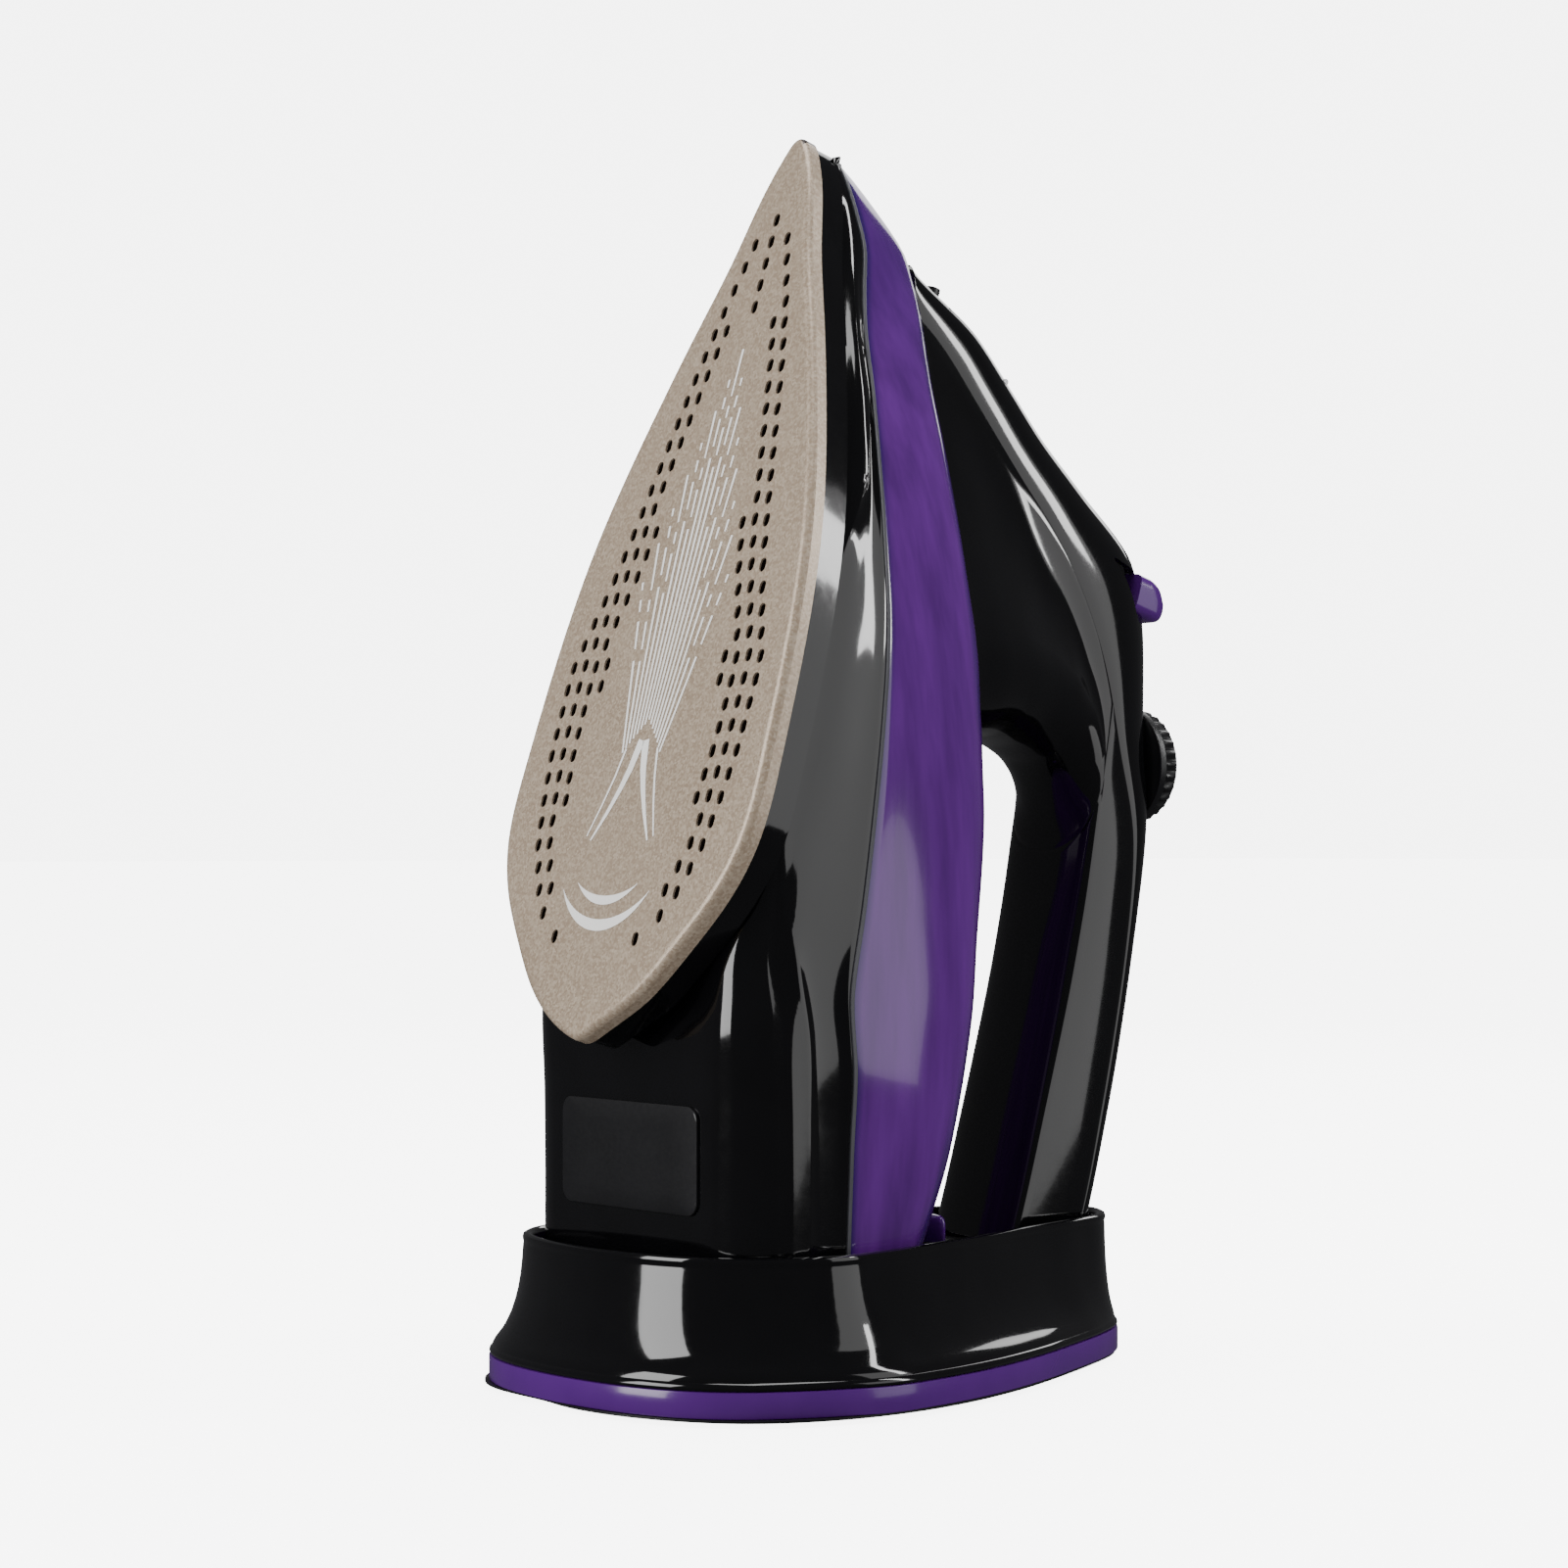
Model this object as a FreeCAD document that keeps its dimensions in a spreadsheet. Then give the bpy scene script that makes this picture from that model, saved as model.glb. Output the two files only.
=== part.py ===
"""Cordless steam iron standing on its docking base, as a parametric FreeCAD document.

Frames (millimetres):
  dock frame  X to the side, Y from the front of the dock to its tail, +Z up, Z = 0 on the table.
  iron frame  x to the side, y along the soleplate from heel to tip, z away from the ironing face.
The iron stands on its heel, so its frame is leaned back by the sheet's lean_angle.
"""
import FreeCAD, Part
import Sketcher
import math
import os

os.makedirs("parts", exist_ok=True)
doc = FreeCAD.newDocument("cordless_iron")
V = FreeCAD.Vector

# ---------------------------------------------------------------- driving dimensions
SIZES = {
    # placing
    "dock_shift": -13.9,        # dock frame's place behind the model's origin
    "lean_angle": 17.24,        # soleplate's lean back from upright
    "heel_back": -74.3,         # heel of the soleplate, in the dock frame
    "heel_up": 84.7,
    # soleplate and heater
    "plate_length": 225.0,
    "plate_width": 97.2,
    "plate_thick": 4.5,
    "plate_round": 1.8,
    "slot_length": 3.4,
    "slot_width": 2.3,
    "row_pitch": 5.6,
    "column_pitch": 4.6,
    "skirt_tall": 7.2,
    "skirt_wall": 2.2,
    "skirt_inset": 0.8,
    "casting_tall": 9.0,
    "casting_inset": 9.0,
    "element_radius": 3.4,
    "element_inset": 13.0,
    "gasket_thick": 1.0,
    "lid_thick": 2.0,
    "seam": 0.3,                # gap between neighbouring mouldings
    # body shells
    "shell_wall": 2.2,
    "tank_wall": 2.0,
    "trim_tall": 1.6,
    # handle
    "grip_half_width": 16.0,
    "button_travel": 4.0,
    "button_gap": 0.35,
    "button_length": 10.6,
    "button_width": 10.0,
    "button_top": 139.8,
    "button_root": 116.0,
    "button_back": 148.6,
    "button_pitch": 12.0,
    # dial on the back of the handle
    "dial_radius": 15.5,
    "dial_tall": 10.4,
    "dial_up": 149.5,
    "dial_seat": 97.2,
    "dial_shaft_radius": 3.5,
    "dial_shaft_long": 14.0,
    "shaft_clearance": 0.06,
    # heel and terminals
    "heel_floor": 12.0,
    "heel_top": 31.0,
    "heel_wall": 2.2,
    "panel_width": 54.0,
    "panel_tall": 24.0,
    "panel_thick": 1.2,
    "panel_up": 57.0,
    "panel_gap": 0.1,
    "neck_front": -57.0,
    "pad_radius": 4.5,
    "pad_pitch": 16.0,
    "contact_radius": 2.4,
    "contacts_back": -30.0,
    "contacts_drop": 6.0,       # dock contacts reach this far below the heel floor
    "pad_lift": 3.2,            # contact pads lie this far above the heel floor
    "pad_thick": 0.8,
    "terminal_tall": 7.0,
    "terminal_half_width": 26.7,
    "terminal_half_depth": 7.7,
    "carrier_half_width": 26.0,
    "carrier_half_depth": 6.0,
    # thumb latch
    "latch_back": 31.0,
    "latch_shaft_radius": 3.0,
    "latch_tall": 7.0,
    "latch_lobe": 4.6,
    "latch_span": 9.0,
    "bolt_reach": 10.6,
    "bolt_width": 6.0,
    "bolt_thick": 2.0,
    "bolt_lift": 0.5,
    # dock
    "rim_length": 158.0,
    "rim_half_width": 52.0,
    "rim_front": -71.0,
    "rim_up": 36.5,
    "base_length": 170.0,
    "base_half_width": 61.5,
    "base_front": -79.0,
    "foot_tall": 1.0,
    "foot_radius": 7.0,
    "floor_thick": 1.6,
    "band_tall": 6.2,
    "band_wall": 3.0,
    "collar_wall": 2.4,
    "heel_clearance": 1.2,
    "seat_thick": 2.6,
    "gland_radius": 4.2,
    "gland_long": 6.2,
    "cord_hole_radius": 3.1,
    "screw_radius": 1.5,
    "screw_head_radius": 3.0,
    "post_radius": 4.0,
    "nozzle_radius": 2.0,
    "nozzle_up": 50.0,
    "hose_radius": 1.6,
}

sheet = doc.addObject("Spreadsheet::Sheet", "sizes")
for row_number, (alias, amount) in enumerate(SIZES.items(), start=1):
    sheet.set("A%d" % row_number, alias)
    sheet.set("B%d" % row_number, str(amount))
    sheet.setAlias("B%d" % row_number, alias)
doc.recompute()


def size(alias):
    """The sheet's value for one driving dimension."""
    return float(sheet.get(alias))


# ---------------------------------------------------------------- frames
LEAN = math.radians(size("lean_angle"))
SIN_LEAN = math.sin(LEAN)
COS_LEAN = math.cos(LEAN)
DOCK = FreeCAD.Placement(V(0, size("dock_shift"), 0), FreeCAD.Rotation())
IRON = FreeCAD.Placement(
    V(0, size("dock_shift") + size("heel_back"), size("heel_up")),
    FreeCAD.Rotation(V(-1, 0, 0), V(0, SIN_LEAN, COS_LEAN), V(0, COS_LEAN, -SIN_LEAN), "XYZ"),
)


def iron_point(back, up, side=0.0):
    """A dock-frame place (Y, Z) as a point of the iron frame."""
    run = back - size("heel_back")
    rise = up - size("heel_up")
    return V(-side, run * SIN_LEAN + rise * COS_LEAN, run * COS_LEAN - rise * SIN_LEAN)


# ---------------------------------------------------------------- document helpers
NODES = []


def keep(thing, label, frame):
    """Name a finished sub-part, put it in its frame and list it for export."""
    thing.Label = label
    thing.Placement = frame
    NODES.append(thing)
    return thing


def shaped(label, shape, frame):
    """A free-form sub-part whose shape is worked out here from the sheet's values."""
    thing = doc.addObject("Part::Feature", label)
    thing.Shape = shape.removeSplitter()
    return keep(thing, label, frame)


def origin_plane(body, role):
    for feature in body.Origin.OriginFeatures:
        if feature.Role == role:
            return feature
    raise ValueError(role)


def new_body(label):
    return doc.addObject("PartDesign::Body", label)


def new_sketch(body, name, role="XY_Plane", lift=None):
    """A sketch on one of the body's own origin planes, lifted by a sheet expression."""
    sketch = body.newObject("Sketcher::SketchObject", name)
    sketch.AttachmentSupport = (origin_plane(body, role), [""])
    sketch.MapMode = "FlatFace"
    if lift:
        sketch.setExpression("AttachmentOffset.Base.z", lift)
    return sketch


def draw_circle(sketch, radius, over_sheet="0", up_sheet="0"):
    """A circle whose radius and centre are sheet expressions."""
    index = sketch.addGeometry(Part.Circle(V(0, 0, 0), V(0, 0, 1), 1.0), False)
    number = sketch.ConstraintCount
    sketch.addConstraint(Sketcher.Constraint("Radius", index, 1.0))
    sketch.addConstraint(Sketcher.Constraint("DistanceX", -1, 1, index, 3, 0.0))
    sketch.addConstraint(Sketcher.Constraint("DistanceY", -1, 1, index, 3, 0.0))
    sketch.setExpression("Constraints[%d]" % number, radius)
    sketch.setExpression("Constraints[%d]" % (number + 1), over_sheet)
    sketch.setExpression("Constraints[%d]" % (number + 2), up_sheet)
    return index


def draw_box(sketch, left, right, low, high):
    """A rectangle whose four sides are sheet expressions."""
    corners = [V(-1, -1, 0), V(1, -1, 0), V(1, 1, 0), V(-1, 1, 0)]
    first = sketch.GeometryCount
    for step in range(4):
        sketch.addGeometry(Part.LineSegment(corners[step], corners[(step + 1) % 4]), False)
    for step in range(4):
        sketch.addConstraint(
            Sketcher.Constraint("Coincident", first + step, 2, first + (step + 1) % 4, 1))
    for step in (0, 2):
        sketch.addConstraint(Sketcher.Constraint("Horizontal", first + step))
    for step in (1, 3):
        sketch.addConstraint(Sketcher.Constraint("Vertical", first + step))
    for kind, line, expression in (
            ("DistanceX", 0, left), ("DistanceX", 2, right),
            ("DistanceY", 0, low), ("DistanceY", 2, high)):
        number = sketch.ConstraintCount
        sketch.addConstraint(Sketcher.Constraint(kind, -1, 1, first + line, 1, 0.5))
        sketch.setExpression("Constraints[%d]" % number, expression)


def pad(body, sketch, length):
    feature = body.newObject("PartDesign::Pad", sketch.Name + "_pad")
    feature.Profile = sketch
    feature.setExpression("Length", length)
    return feature


def pocket(body, sketch, length, reverse=False):
    doc.recompute()
    feature = body.newObject("PartDesign::Pocket", sketch.Name + "_pocket")
    feature.Profile = sketch
    feature.Reversed = reverse
    feature.setExpression("Length", length)
    return feature


# ---------------------------------------------------------------- curve helpers
def spline(points, closed=False):
    curve = Part.BSplineCurve()
    curve.interpolate(points, PeriodicFlag=closed)
    return curve.toShape()


def mirrored(points):
    """The same points on the other side of the middle plane, in reverse order."""
    return [V(-point.x, point.y, point.z) for point in reversed(points)]


def interpolated(table, at):
    """Straight-line reading of a table of (place, value) pairs, in rising order."""
    for (low, first), (high, last) in zip(table, table[1:]):
        if at <= high:
            share = max(0.0, (at - low) / (high - low))
            return first + share * (last - first)
    return table[-1][1]


def prism(points, half_width):
    """A slab across the whole width whose side view is the given (y, z) outline."""
    corners = [V(-half_width, y, z) for y, z in points]
    face = Part.Face(Part.makePolygon(corners + corners[:1]))
    return face.extrude(V(2 * half_width, 0, 0))


def wide_box(low, high):
    return Part.makeBox(high.x - low.x, high.y - low.y, high.z - low.z, low)


# ---------------------------------------------------------------- tables that follow the plate
# The tables of places along and across the iron are drawn on a soleplate of this size.
DRAWN_LENGTH = 225.0
DRAWN_WIDTH = 97.2


def along(y):
    """A drawn distance from the heel, moved with the soleplate's length; the neck side stays."""
    return y * size("plate_length") / DRAWN_LENGTH if y > 0 else y


def across(x):
    """A drawn half-width, moved with the soleplate's width."""
    return x * size("plate_width") / DRAWN_WIDTH


def side_line(table):
    """A side-view line of (distance from heel, height) pairs, moved with the soleplate."""
    return [(along(y), z) for y, z in table]


def section_rows(table):
    """Rows of sections, each (distance, (half-width, height) ..., crown), moved with the plate."""
    rows = []
    for row in table:
        corners = [(across(x), z) for x, z in row[1:-1]]
        rows.append((along(row[0]), *corners, row[-1]))
    return rows


# ---------------------------------------------------------------- soleplate outline
# Half-width of the soleplate along its length, as shares of width and length.
PLATE_HALF = [
    (0.0, 0.0), (0.012, 0.165), (0.047, 0.43), (0.1, 0.67), (0.155, 0.87), (0.21, 0.98),
    (0.3, 1.0), (0.42, 0.965), (0.55, 0.87), (0.685, 0.665), (0.795, 0.455), (0.87, 0.305),
    (0.933, 0.203), (0.978, 0.1), (1.0, 0.0)]


def plate_half_width(y):
    table = [(share * size("plate_length"), half * size("plate_width") / 2)
             for share, half in PLATE_HALF]
    return interpolated(table, y)


def drawn_in(points, inset):
    """A closed ring of points moved inwards, each along its own normal."""
    moved = []
    for index, point in enumerate(points):
        along = points[(index + 1) % len(points)] - points[index - 1]
        inward = V(-along.y, along.x, 0).normalize()
        moved.append(point + inward * inset)
    return moved


def plate_wire(inset=0.0, z=0.0):
    """The closed soleplate outline, drawn in from its edge."""
    side = [V(half * size("plate_width") / 2, share * size("plate_length"), z)
            for share, half in PLATE_HALF]
    return Part.Wire([spline(drawn_in(side + mirrored(side)[1:-1], inset), closed=True)])


def plate_slab(inset, z, tall):
    return Part.Face(plate_wire(inset, z)).extrude(V(0, 0, tall))


def plate_ring(outer, inner, z, tall):
    return plate_slab(outer, z, tall).cut(plate_slab(inner, z, tall))


# ---------------------------------------------------------------- soleplate
# Outer edge of the field of steam slots: (distance from the heel, half-width).
FIELD_EDGE = [
    (22, 13), (27.5, 22), (36, 28.3), (46, 32.9), (57, 35.4), (70, 37.3), (90, 37.7),
    (101, 33.9), (113, 29.6), (124, 26.6), (165, 16.8), (181, 12.1), (198, 6.2), (204, 0)]
FIELD_EDGE = [(along(y), across(x)) for y, x in FIELD_EDGE]
# Columns of slots on each side: (up to this distance from the heel, columns).
FIELD_COLUMNS = side_line([(33, 1), (57, 2), (84, 3), (93, 4), (129, 3), (177, 2), (200, 1)])
FIELD_HEEL = along(24.0)
FIELD_TIP = along(198.5)
CENTRE_FROM = along(178.0)


def slot_centres():
    """Middle of every steam slot, row by row from heel to tip."""
    centres = []
    rows = int((FIELD_TIP - FIELD_HEEL) / size("row_pitch"))
    for row in range(rows + 2):
        y = FIELD_HEEL + row * size("row_pitch")
        if y > CENTRE_FROM:
            centres.append((0.0, y))
        if y > FIELD_TIP:
            continue
        edge = interpolated(FIELD_EDGE, y)
        columns = next(count for limit, count in FIELD_COLUMNS if y <= limit)
        for column in range(columns):
            x = edge - column * size("column_pitch")
            centres.append((x, y + 0.5 * (column % 2)))
            centres.append((-x, y + 0.5 * (column % 2)))
    return centres


def make_soleplate():
    rim = size("plate_round")
    rolled = Part.makeLoft([plate_wire(rim, 0), plate_wire(rim * 0.3, rim * 0.3),
                            plate_wire(0, rim)], True)
    plate = rolled.fuse(plate_slab(0, rim, size("plate_thick") - rim))
    half = (size("slot_length") - size("slot_width")) / 2
    radius = size("slot_width") / 2
    slots = []
    for x, y in slot_centres():
        ends = [Part.makeCylinder(radius, size("plate_thick") + 2, V(x, y + side * half, -1))
                for side in (-1, 1)]
        middle = Part.makeBox(2 * radius, 2 * half, size("plate_thick") + 2,
                              V(x - radius, y - half, -1))
        slots.append(ends[0].fuse([middle, ends[1]]).removeSplitter())
    return plate.cut(Part.makeCompound(slots))


shaped("soleplate", make_soleplate(), IRON)

PLATE_TOP = size("plate_thick")
CASTING_TOP = PLATE_TOP + size("casting_tall")
GASKET_TOP = CASTING_TOP + size("gasket_thick")
LID_TOP = GASKET_TOP + size("lid_thick")
HEATER_HEEL = along(32.0)
HEATER_TIP = along(190.0)


def heater_slab(inset, z, tall):
    """A slab of the heater's plan: the soleplate drawn in, with heel and tip cut off square."""
    span = wide_box(V(-80, HEATER_HEEL, z - 1), V(80, HEATER_TIP, z + tall + 1))
    return plate_slab(inset, z, tall).common(span)


# Sheathed element: a U lying in a groove of the casting, open at the heel.
ELEMENT_HEEL = along(30.0)
ELEMENT_BEND = along(150.0)


def element_tube(radius):
    """The U-shaped element: two straight legs and a half-round bend towards the tip."""
    leg = plate_half_width(ELEMENT_BEND) - size("element_inset")
    z = CASTING_TOP - size("element_radius")
    heel = V(leg, ELEMENT_HEEL, z)
    bend = V(leg, ELEMENT_BEND, z)
    crown = V(0, ELEMENT_BEND + leg, z)
    path = Part.Wire([
        Part.LineSegment(heel, bend).toShape(),
        Part.Arc(bend, crown, V(-leg, ELEMENT_BEND, z)).toShape(),
        Part.LineSegment(V(-leg, ELEMENT_BEND, z), V(-leg, heel.y, z)).toShape()])
    section = Part.Wire([Part.makeCircle(radius, heel, V(0, 1, 0))])
    return path.makePipeShell([section], True, False)


casting = heater_slab(size("casting_inset"), PLATE_TOP, size("casting_tall"))
shaped("heater_casting", casting.cut(element_tube(size("element_radius"))), IRON)
shaped("heating_element", element_tube(size("element_radius") - 0.15), IRON)
shaped("chamber_gasket", heater_slab(size("casting_inset") + 1, CASTING_TOP,
                                     size("gasket_thick")), IRON)
chamber_lid = heater_slab(size("casting_inset") + 1, GASKET_TOP, size("lid_thick"))
shaped("chamber_lid", chamber_lid, IRON)

skirt = plate_ring(size("skirt_inset"), size("skirt_inset") + size("skirt_wall"),
                   PLATE_TOP, size("skirt_tall"))
shaped("skirt", skirt, IRON)
SKIRT_TOP = PLATE_TOP + size("skirt_tall")

# ---------------------------------------------------------------- body hull
# Sections across the iron, each (y, corner points): base corner, flank, tank foot,
# tank shoulder, crown corner and crown height, all as (half-width, z).
HULL = [
    (-62, (33, 37.3), (44.5, 51), (43, 66), (36, 84), (22, 94.5), 96.5),
    (-30, (33, 27.4), (44.5, 41), (44, 59.5), (38, 84), (22, 95), 97),
    (-8, (33, 20.6), (44.5, 34), (45, 53), (40, 84), (22, 95.5), 97.5),
    (12, (34, 14.4), (45, 28), (46, 46), (41, 82), (22, 95.8), 97.5),
    (28, (37, 11.7), (45.5, 25), (46, 42), (41, 80), (22, 94.5), 96.5),
    (50, (46.6, 11.7), (46.8, 23), (45.6, 39), (40, 76), (22, 91), 93),
    (75, (47, 11.7), (46.6, 22), (44.6, 35.8), (38, 72), (22, 86.5), 88.5),
    (95, (45.6, 11.7), (45, 21), (43, 33.3), (35, 68), (22, 80), 82),
    (110, (43, 11.7), (42.6, 20), (41, 30.8), (32, 66.5), (18, 71), 72),
    (135, (37.8, 11.7), (37.4, 18), (36.2, 26), (28, 58.1), (15, 60), 60.5),
    (160, (31, 11.7), (30.6, 16), (28.8, 21.3), (22, 49.3), (12, 51), 51.5),
    (180, (21.2, 11.7), (21, 15.5), (20.2, 19), (15.5, 43.2), (8, 44.6), 45),
    (195, (14.2, 11.7), (13.8, 16), (13.2, 20.5), (9.5, 40.5), (5, 42), 42.2),
    (208, (9.8, 11.7), (9, 16), (8, 23), (4, 38), (2, 40.5), 41),
    (219, (4.4, 11.7), (3.6, 15.5), (2.8, 19), (1.9, 22), (1, 23.2), 23.6)]
HULL = section_rows(HULL)


def hull_section(row, inset):
    """One closed section of the hull, drawn in all round by the wall."""
    y, base, flank, foot, shoulder, corner, crown = row
    inset = min(inset, 0.45 * base[0])
    low = base[1] + inset
    side = [V(base[0] - inset, y, low), V(flank[0] - inset, y, max(flank[1], low + 0.6)),
            V(foot[0] - inset, y, foot[1]), V(shoulder[0] - inset, y, shoulder[1] - inset / 2)]
    top = [side[-1], V(corner[0] - inset / 2, y, corner[1] - inset), V(0, y, crown - inset)]
    top = top + mirrored(top)[1:]
    floor = Part.LineSegment(V(-side[0].x, y, low), side[0]).toShape()
    return Part.Wire([floor, spline(side), spline(top), spline(mirrored(side))])


def hull(inset=0.0):
    """The hull, or its hollow when drawn in; the hollow stops short of the sharp nose."""
    rows = HULL[:-1] if inset else HULL
    return Part.makeLoft([hull_section(row, inset) for row in rows], True, True)


def above(shape, up):
    """Keep what stands higher than a level plane of the dock frame."""
    corners = [iron_point(-300, up), iron_point(300, up),
               iron_point(300, up - 300), iron_point(-300, up - 300)]
    return shape.cut(prism([(point.y, point.z) for point in corners], 120))


# Side view of the joints between the mouldings, as (y, z) from heel to tip.
TANK_FOOT = [(-70, 71.5), (-30, 59.5), (-10, 53.5), (6, 48.9), (25, 42), (43, 40), (66, 37),
             (86, 34.3), (109, 31), (127, 27), (148, 23), (165, 20.8), (182, 19.6), (232, 26)]
TANK_FOOT = side_line(TANK_FOOT)
TANK_DECK = [(92, 110), (97, 71), (107, 67.6), (121, 63), (135, 58.1), (150, 53), (165, 47.3),
             (179, 43.3), (232, 40.5)]
TANK_DECK = side_line(TANK_DECK)


def side_band(lower, upper, low_shift, high_shift):
    """Outline between two side-view lines, each moved up or down."""
    bottom = [(y, z + low_shift) for y, z in lower]
    top = [(y, z + high_shift) for y, z in upper]
    return bottom + list(reversed(top))


BELOW_ALL = side_line([(-70, -20), (232, -20)])
DECK_WITH_REAR = side_line([(-70, 130), (92, 130)]) + TANK_DECK

outer_hull = above(hull(), size("heel_top"))
shell_core = hull(size("shell_wall"))
lower = outer_hull.common(prism(side_band(BELOW_ALL, TANK_FOOT, 0, -size("trim_tall")), 120))
heater_room = plate_slab(7, 0, LID_TOP + 2).common(
    wide_box(V(-80, HEATER_HEEL - 4, 0), V(80, HEATER_TIP + 2, LID_TOP + 2)))
shaped("lower_shell", lower.cut(shell_core).cut(heater_room), IRON)

trim = outer_hull.common(prism(side_band(TANK_FOOT, TANK_FOOT, -size("trim_tall"), 0), 120))
shaped("tank_trim", trim.cut(shell_core), IRON)

tank_outer = outer_hull.common(prism(side_band(TANK_FOOT, DECK_WITH_REAR, 0, 0), 120))
tank_core = hull(size("tank_wall")).common(
    prism(side_band(TANK_FOOT, DECK_WITH_REAR, size("tank_wall"), -size("tank_wall")), 120))
tank_core = above(tank_core, size("heel_top") + size("tank_wall"))
shaped("water_tank", tank_outer.cut(tank_core), IRON)

# ---------------------------------------------------------------- upper cover
# Sections of the front pillar: (y, deck corner, flank, shoulder, crest height).
PILLAR = [
    (84, (27, 78), (20, 106), (16, 142), 151.8),
    (108, (30, 64), (22, 100), (15.8, 140), 147.5),
    (120, (31, 58), (22.5, 95), (15.5, 136), 144),
    (135, (28.6, 54), (21, 90), (15, 132), 139.5),
    (150, (25.4, 49), (20, 85), (14, 129), 136.5),
    (163, (22, 44), (18.5, 78), (12.5, 122), 129.4),
    (180, (16, 40), (14.5, 62), (10, 90), 96.5),
    (195, (10, 38), (10, 52), (7.5, 66), 71.3),
    (203, (6.6, 38), (6, 48), (4.5, 55), 59.5),
    (208.5, (3.8, 38), (3.2, 43), (2.2, 46), 48)]
PILLAR = section_rows(PILLAR)


def pillar_section(row, inset):
    y, deck, flank, shoulder, crest = row
    inset = min(inset, 0.45 * deck[0])
    low = deck[1] + inset
    side = [V(deck[0] - inset, y, low), V(flank[0] - inset, y, max(flank[1], low + 0.6)),
            V(shoulder[0] - inset, y, max(shoulder[1] - inset, low + 1.2))]
    top = [side[-1], V(0, y, max(crest - inset, low + 1.8)), mirrored(side)[0]]
    floor = Part.LineSegment(V(-side[0].x, y, low), side[0]).toShape()
    return Part.Wire([floor, spline(side), spline(top), spline(mirrored(side))])


def pillar(inset=0.0):
    rows = PILLAR[:-1] if inset else PILLAR
    return Part.makeLoft([pillar_section(row, inset) for row in rows], True, True)


# Handle sections: (y, underside height, top height).
GRIP = [(-62, 130, 157.4), (-18, 130, 158.2), (-5, 130, 159.2), (18, 129.5, 159), (43, 128.5, 157),
        (61, 127.5, 155), (77, 126.5, 153), (92, 125, 151.4), (100, 124, 150)]
GRIP = [(along(y), under, over) for y, under, over in GRIP]
GRIP_ROUND = 2.6        # exponent of the section's superellipse


def grip_section(row, inset):
    y, under, over = row
    middle = (under + over) / 2
    wide = size("grip_half_width") - inset
    deep = (over - under) / 2 - inset
    points = []
    for step in range(24):
        turn = 2 * math.pi * step / 24
        across = abs(math.cos(turn)) ** (2 / GRIP_ROUND) * math.copysign(1, math.cos(turn))
        upward = abs(math.sin(turn)) ** (2 / GRIP_ROUND) * math.copysign(1, math.sin(turn))
        points.append(V(wide * across, y, middle + deep * upward))
    return Part.Wire([spline(points, closed=True)])


def grip(inset=0.0):
    return Part.makeLoft([grip_section(row, inset) for row in GRIP], True, True)


# Underside of the arch between the body and the handle, as (y, z).
ARCH = [(-70, 60), (90, 60), (98, 80), (103.5, 92), (105, 102), (103.5, 112), (98, 120),
        (90, 124.6), (77, 126.4), (61, 127.4), (43, 128.4), (18, 129.4), (-70, 130)]
ARCH = side_line(ARCH)
finger_gap = prism(ARCH, 120)
PILLAR_REAR = along(92.0)
ARCH_WALL = 2.0
cut_rear = wide_box(V(-120, -120, -120), V(120, PILLAR_REAR, 300))
cut_front = wide_box(V(-120, PILLAR_REAR, -120), V(120, 300, 300))

# The cap along the top of the handle and the front slope, by its lower line.
CAP_LINE = [(-70, 152.5), (18, 152), (43, 150), (61, 148), (77, 146), (92, 144.4), (108, 140.5),
            (120, 137), (135, 132.5), (147, 129.5), (158, 124)]
CAP_LINE = side_line(CAP_LINE)
CAP_FRONT = along(161.5)
cap_zone = prism(CAP_LINE + [(CAP_FRONT, 123), (CAP_FRONT, 220), (-70, 220)], 120)

front = pillar().cut(finger_gap).cut(cut_rear).cut(tank_outer)
front_core = pillar(size("shell_wall")).cut(
    prism([(y + ARCH_WALL * (y > PILLAR_REAR - 2), z + size("shell_wall"))
           for y, z in ARCH], 120))
front_core = front_core.cut(wide_box(V(-120, -120, -120), V(120, PILLAR_REAR + 2, 300)))
rear = above(grip().cut(cut_front), size("heel_top"))
rear_core = above(grip(size("shell_wall")).cut(wide_box(
    V(-120, PILLAR_REAR - 2, -120), V(120, 300, 300))), size("heel_top") + 2)

# Filling door on the front slope, hinged at its upper end; the lower end is a finger lip.
DOOR_LINE = side_line([(204.2, 57.2), (199.2, 64.9), (190.5, 78.2)])
DOOR_HALF_WIDTH = 4.6
DOOR_THICK = 3.2
DOOR_PIN = (along(190.6), 74.6)
DOOR_PIN_RADIUS = 0.8


def door_zone(grow):
    """The door's room in the cover: a slanted slab, wider all round by the given gap."""
    (tip_y, tip_z), (mid_y, mid_z), (end_y, end_z) = DOOR_LINE
    deep = DOOR_THICK + grow
    outline = [(tip_y + 9, tip_z - grow), (tip_y - deep, tip_z - grow),
               (mid_y - deep, mid_z - 2), (end_y - deep, end_z + grow), (end_y + 9, end_z + grow)]
    return prism(outline, DOOR_HALF_WIDTH + grow)


BUTTON_START = along(size("button_back"))
BUTTON_MIDDLE = BUTTON_START + size("button_length") / 2


def button_room(side, grow):
    """The upright well of one thumb button."""
    middle = side * size("button_pitch") / 2
    half = size("button_width") / 2 + grow
    low = BUTTON_START - grow
    high = BUTTON_START + size("button_length") + grow
    return wide_box(V(middle - half, low, size("button_root") - 1), V(middle + half, high, 160))


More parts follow.
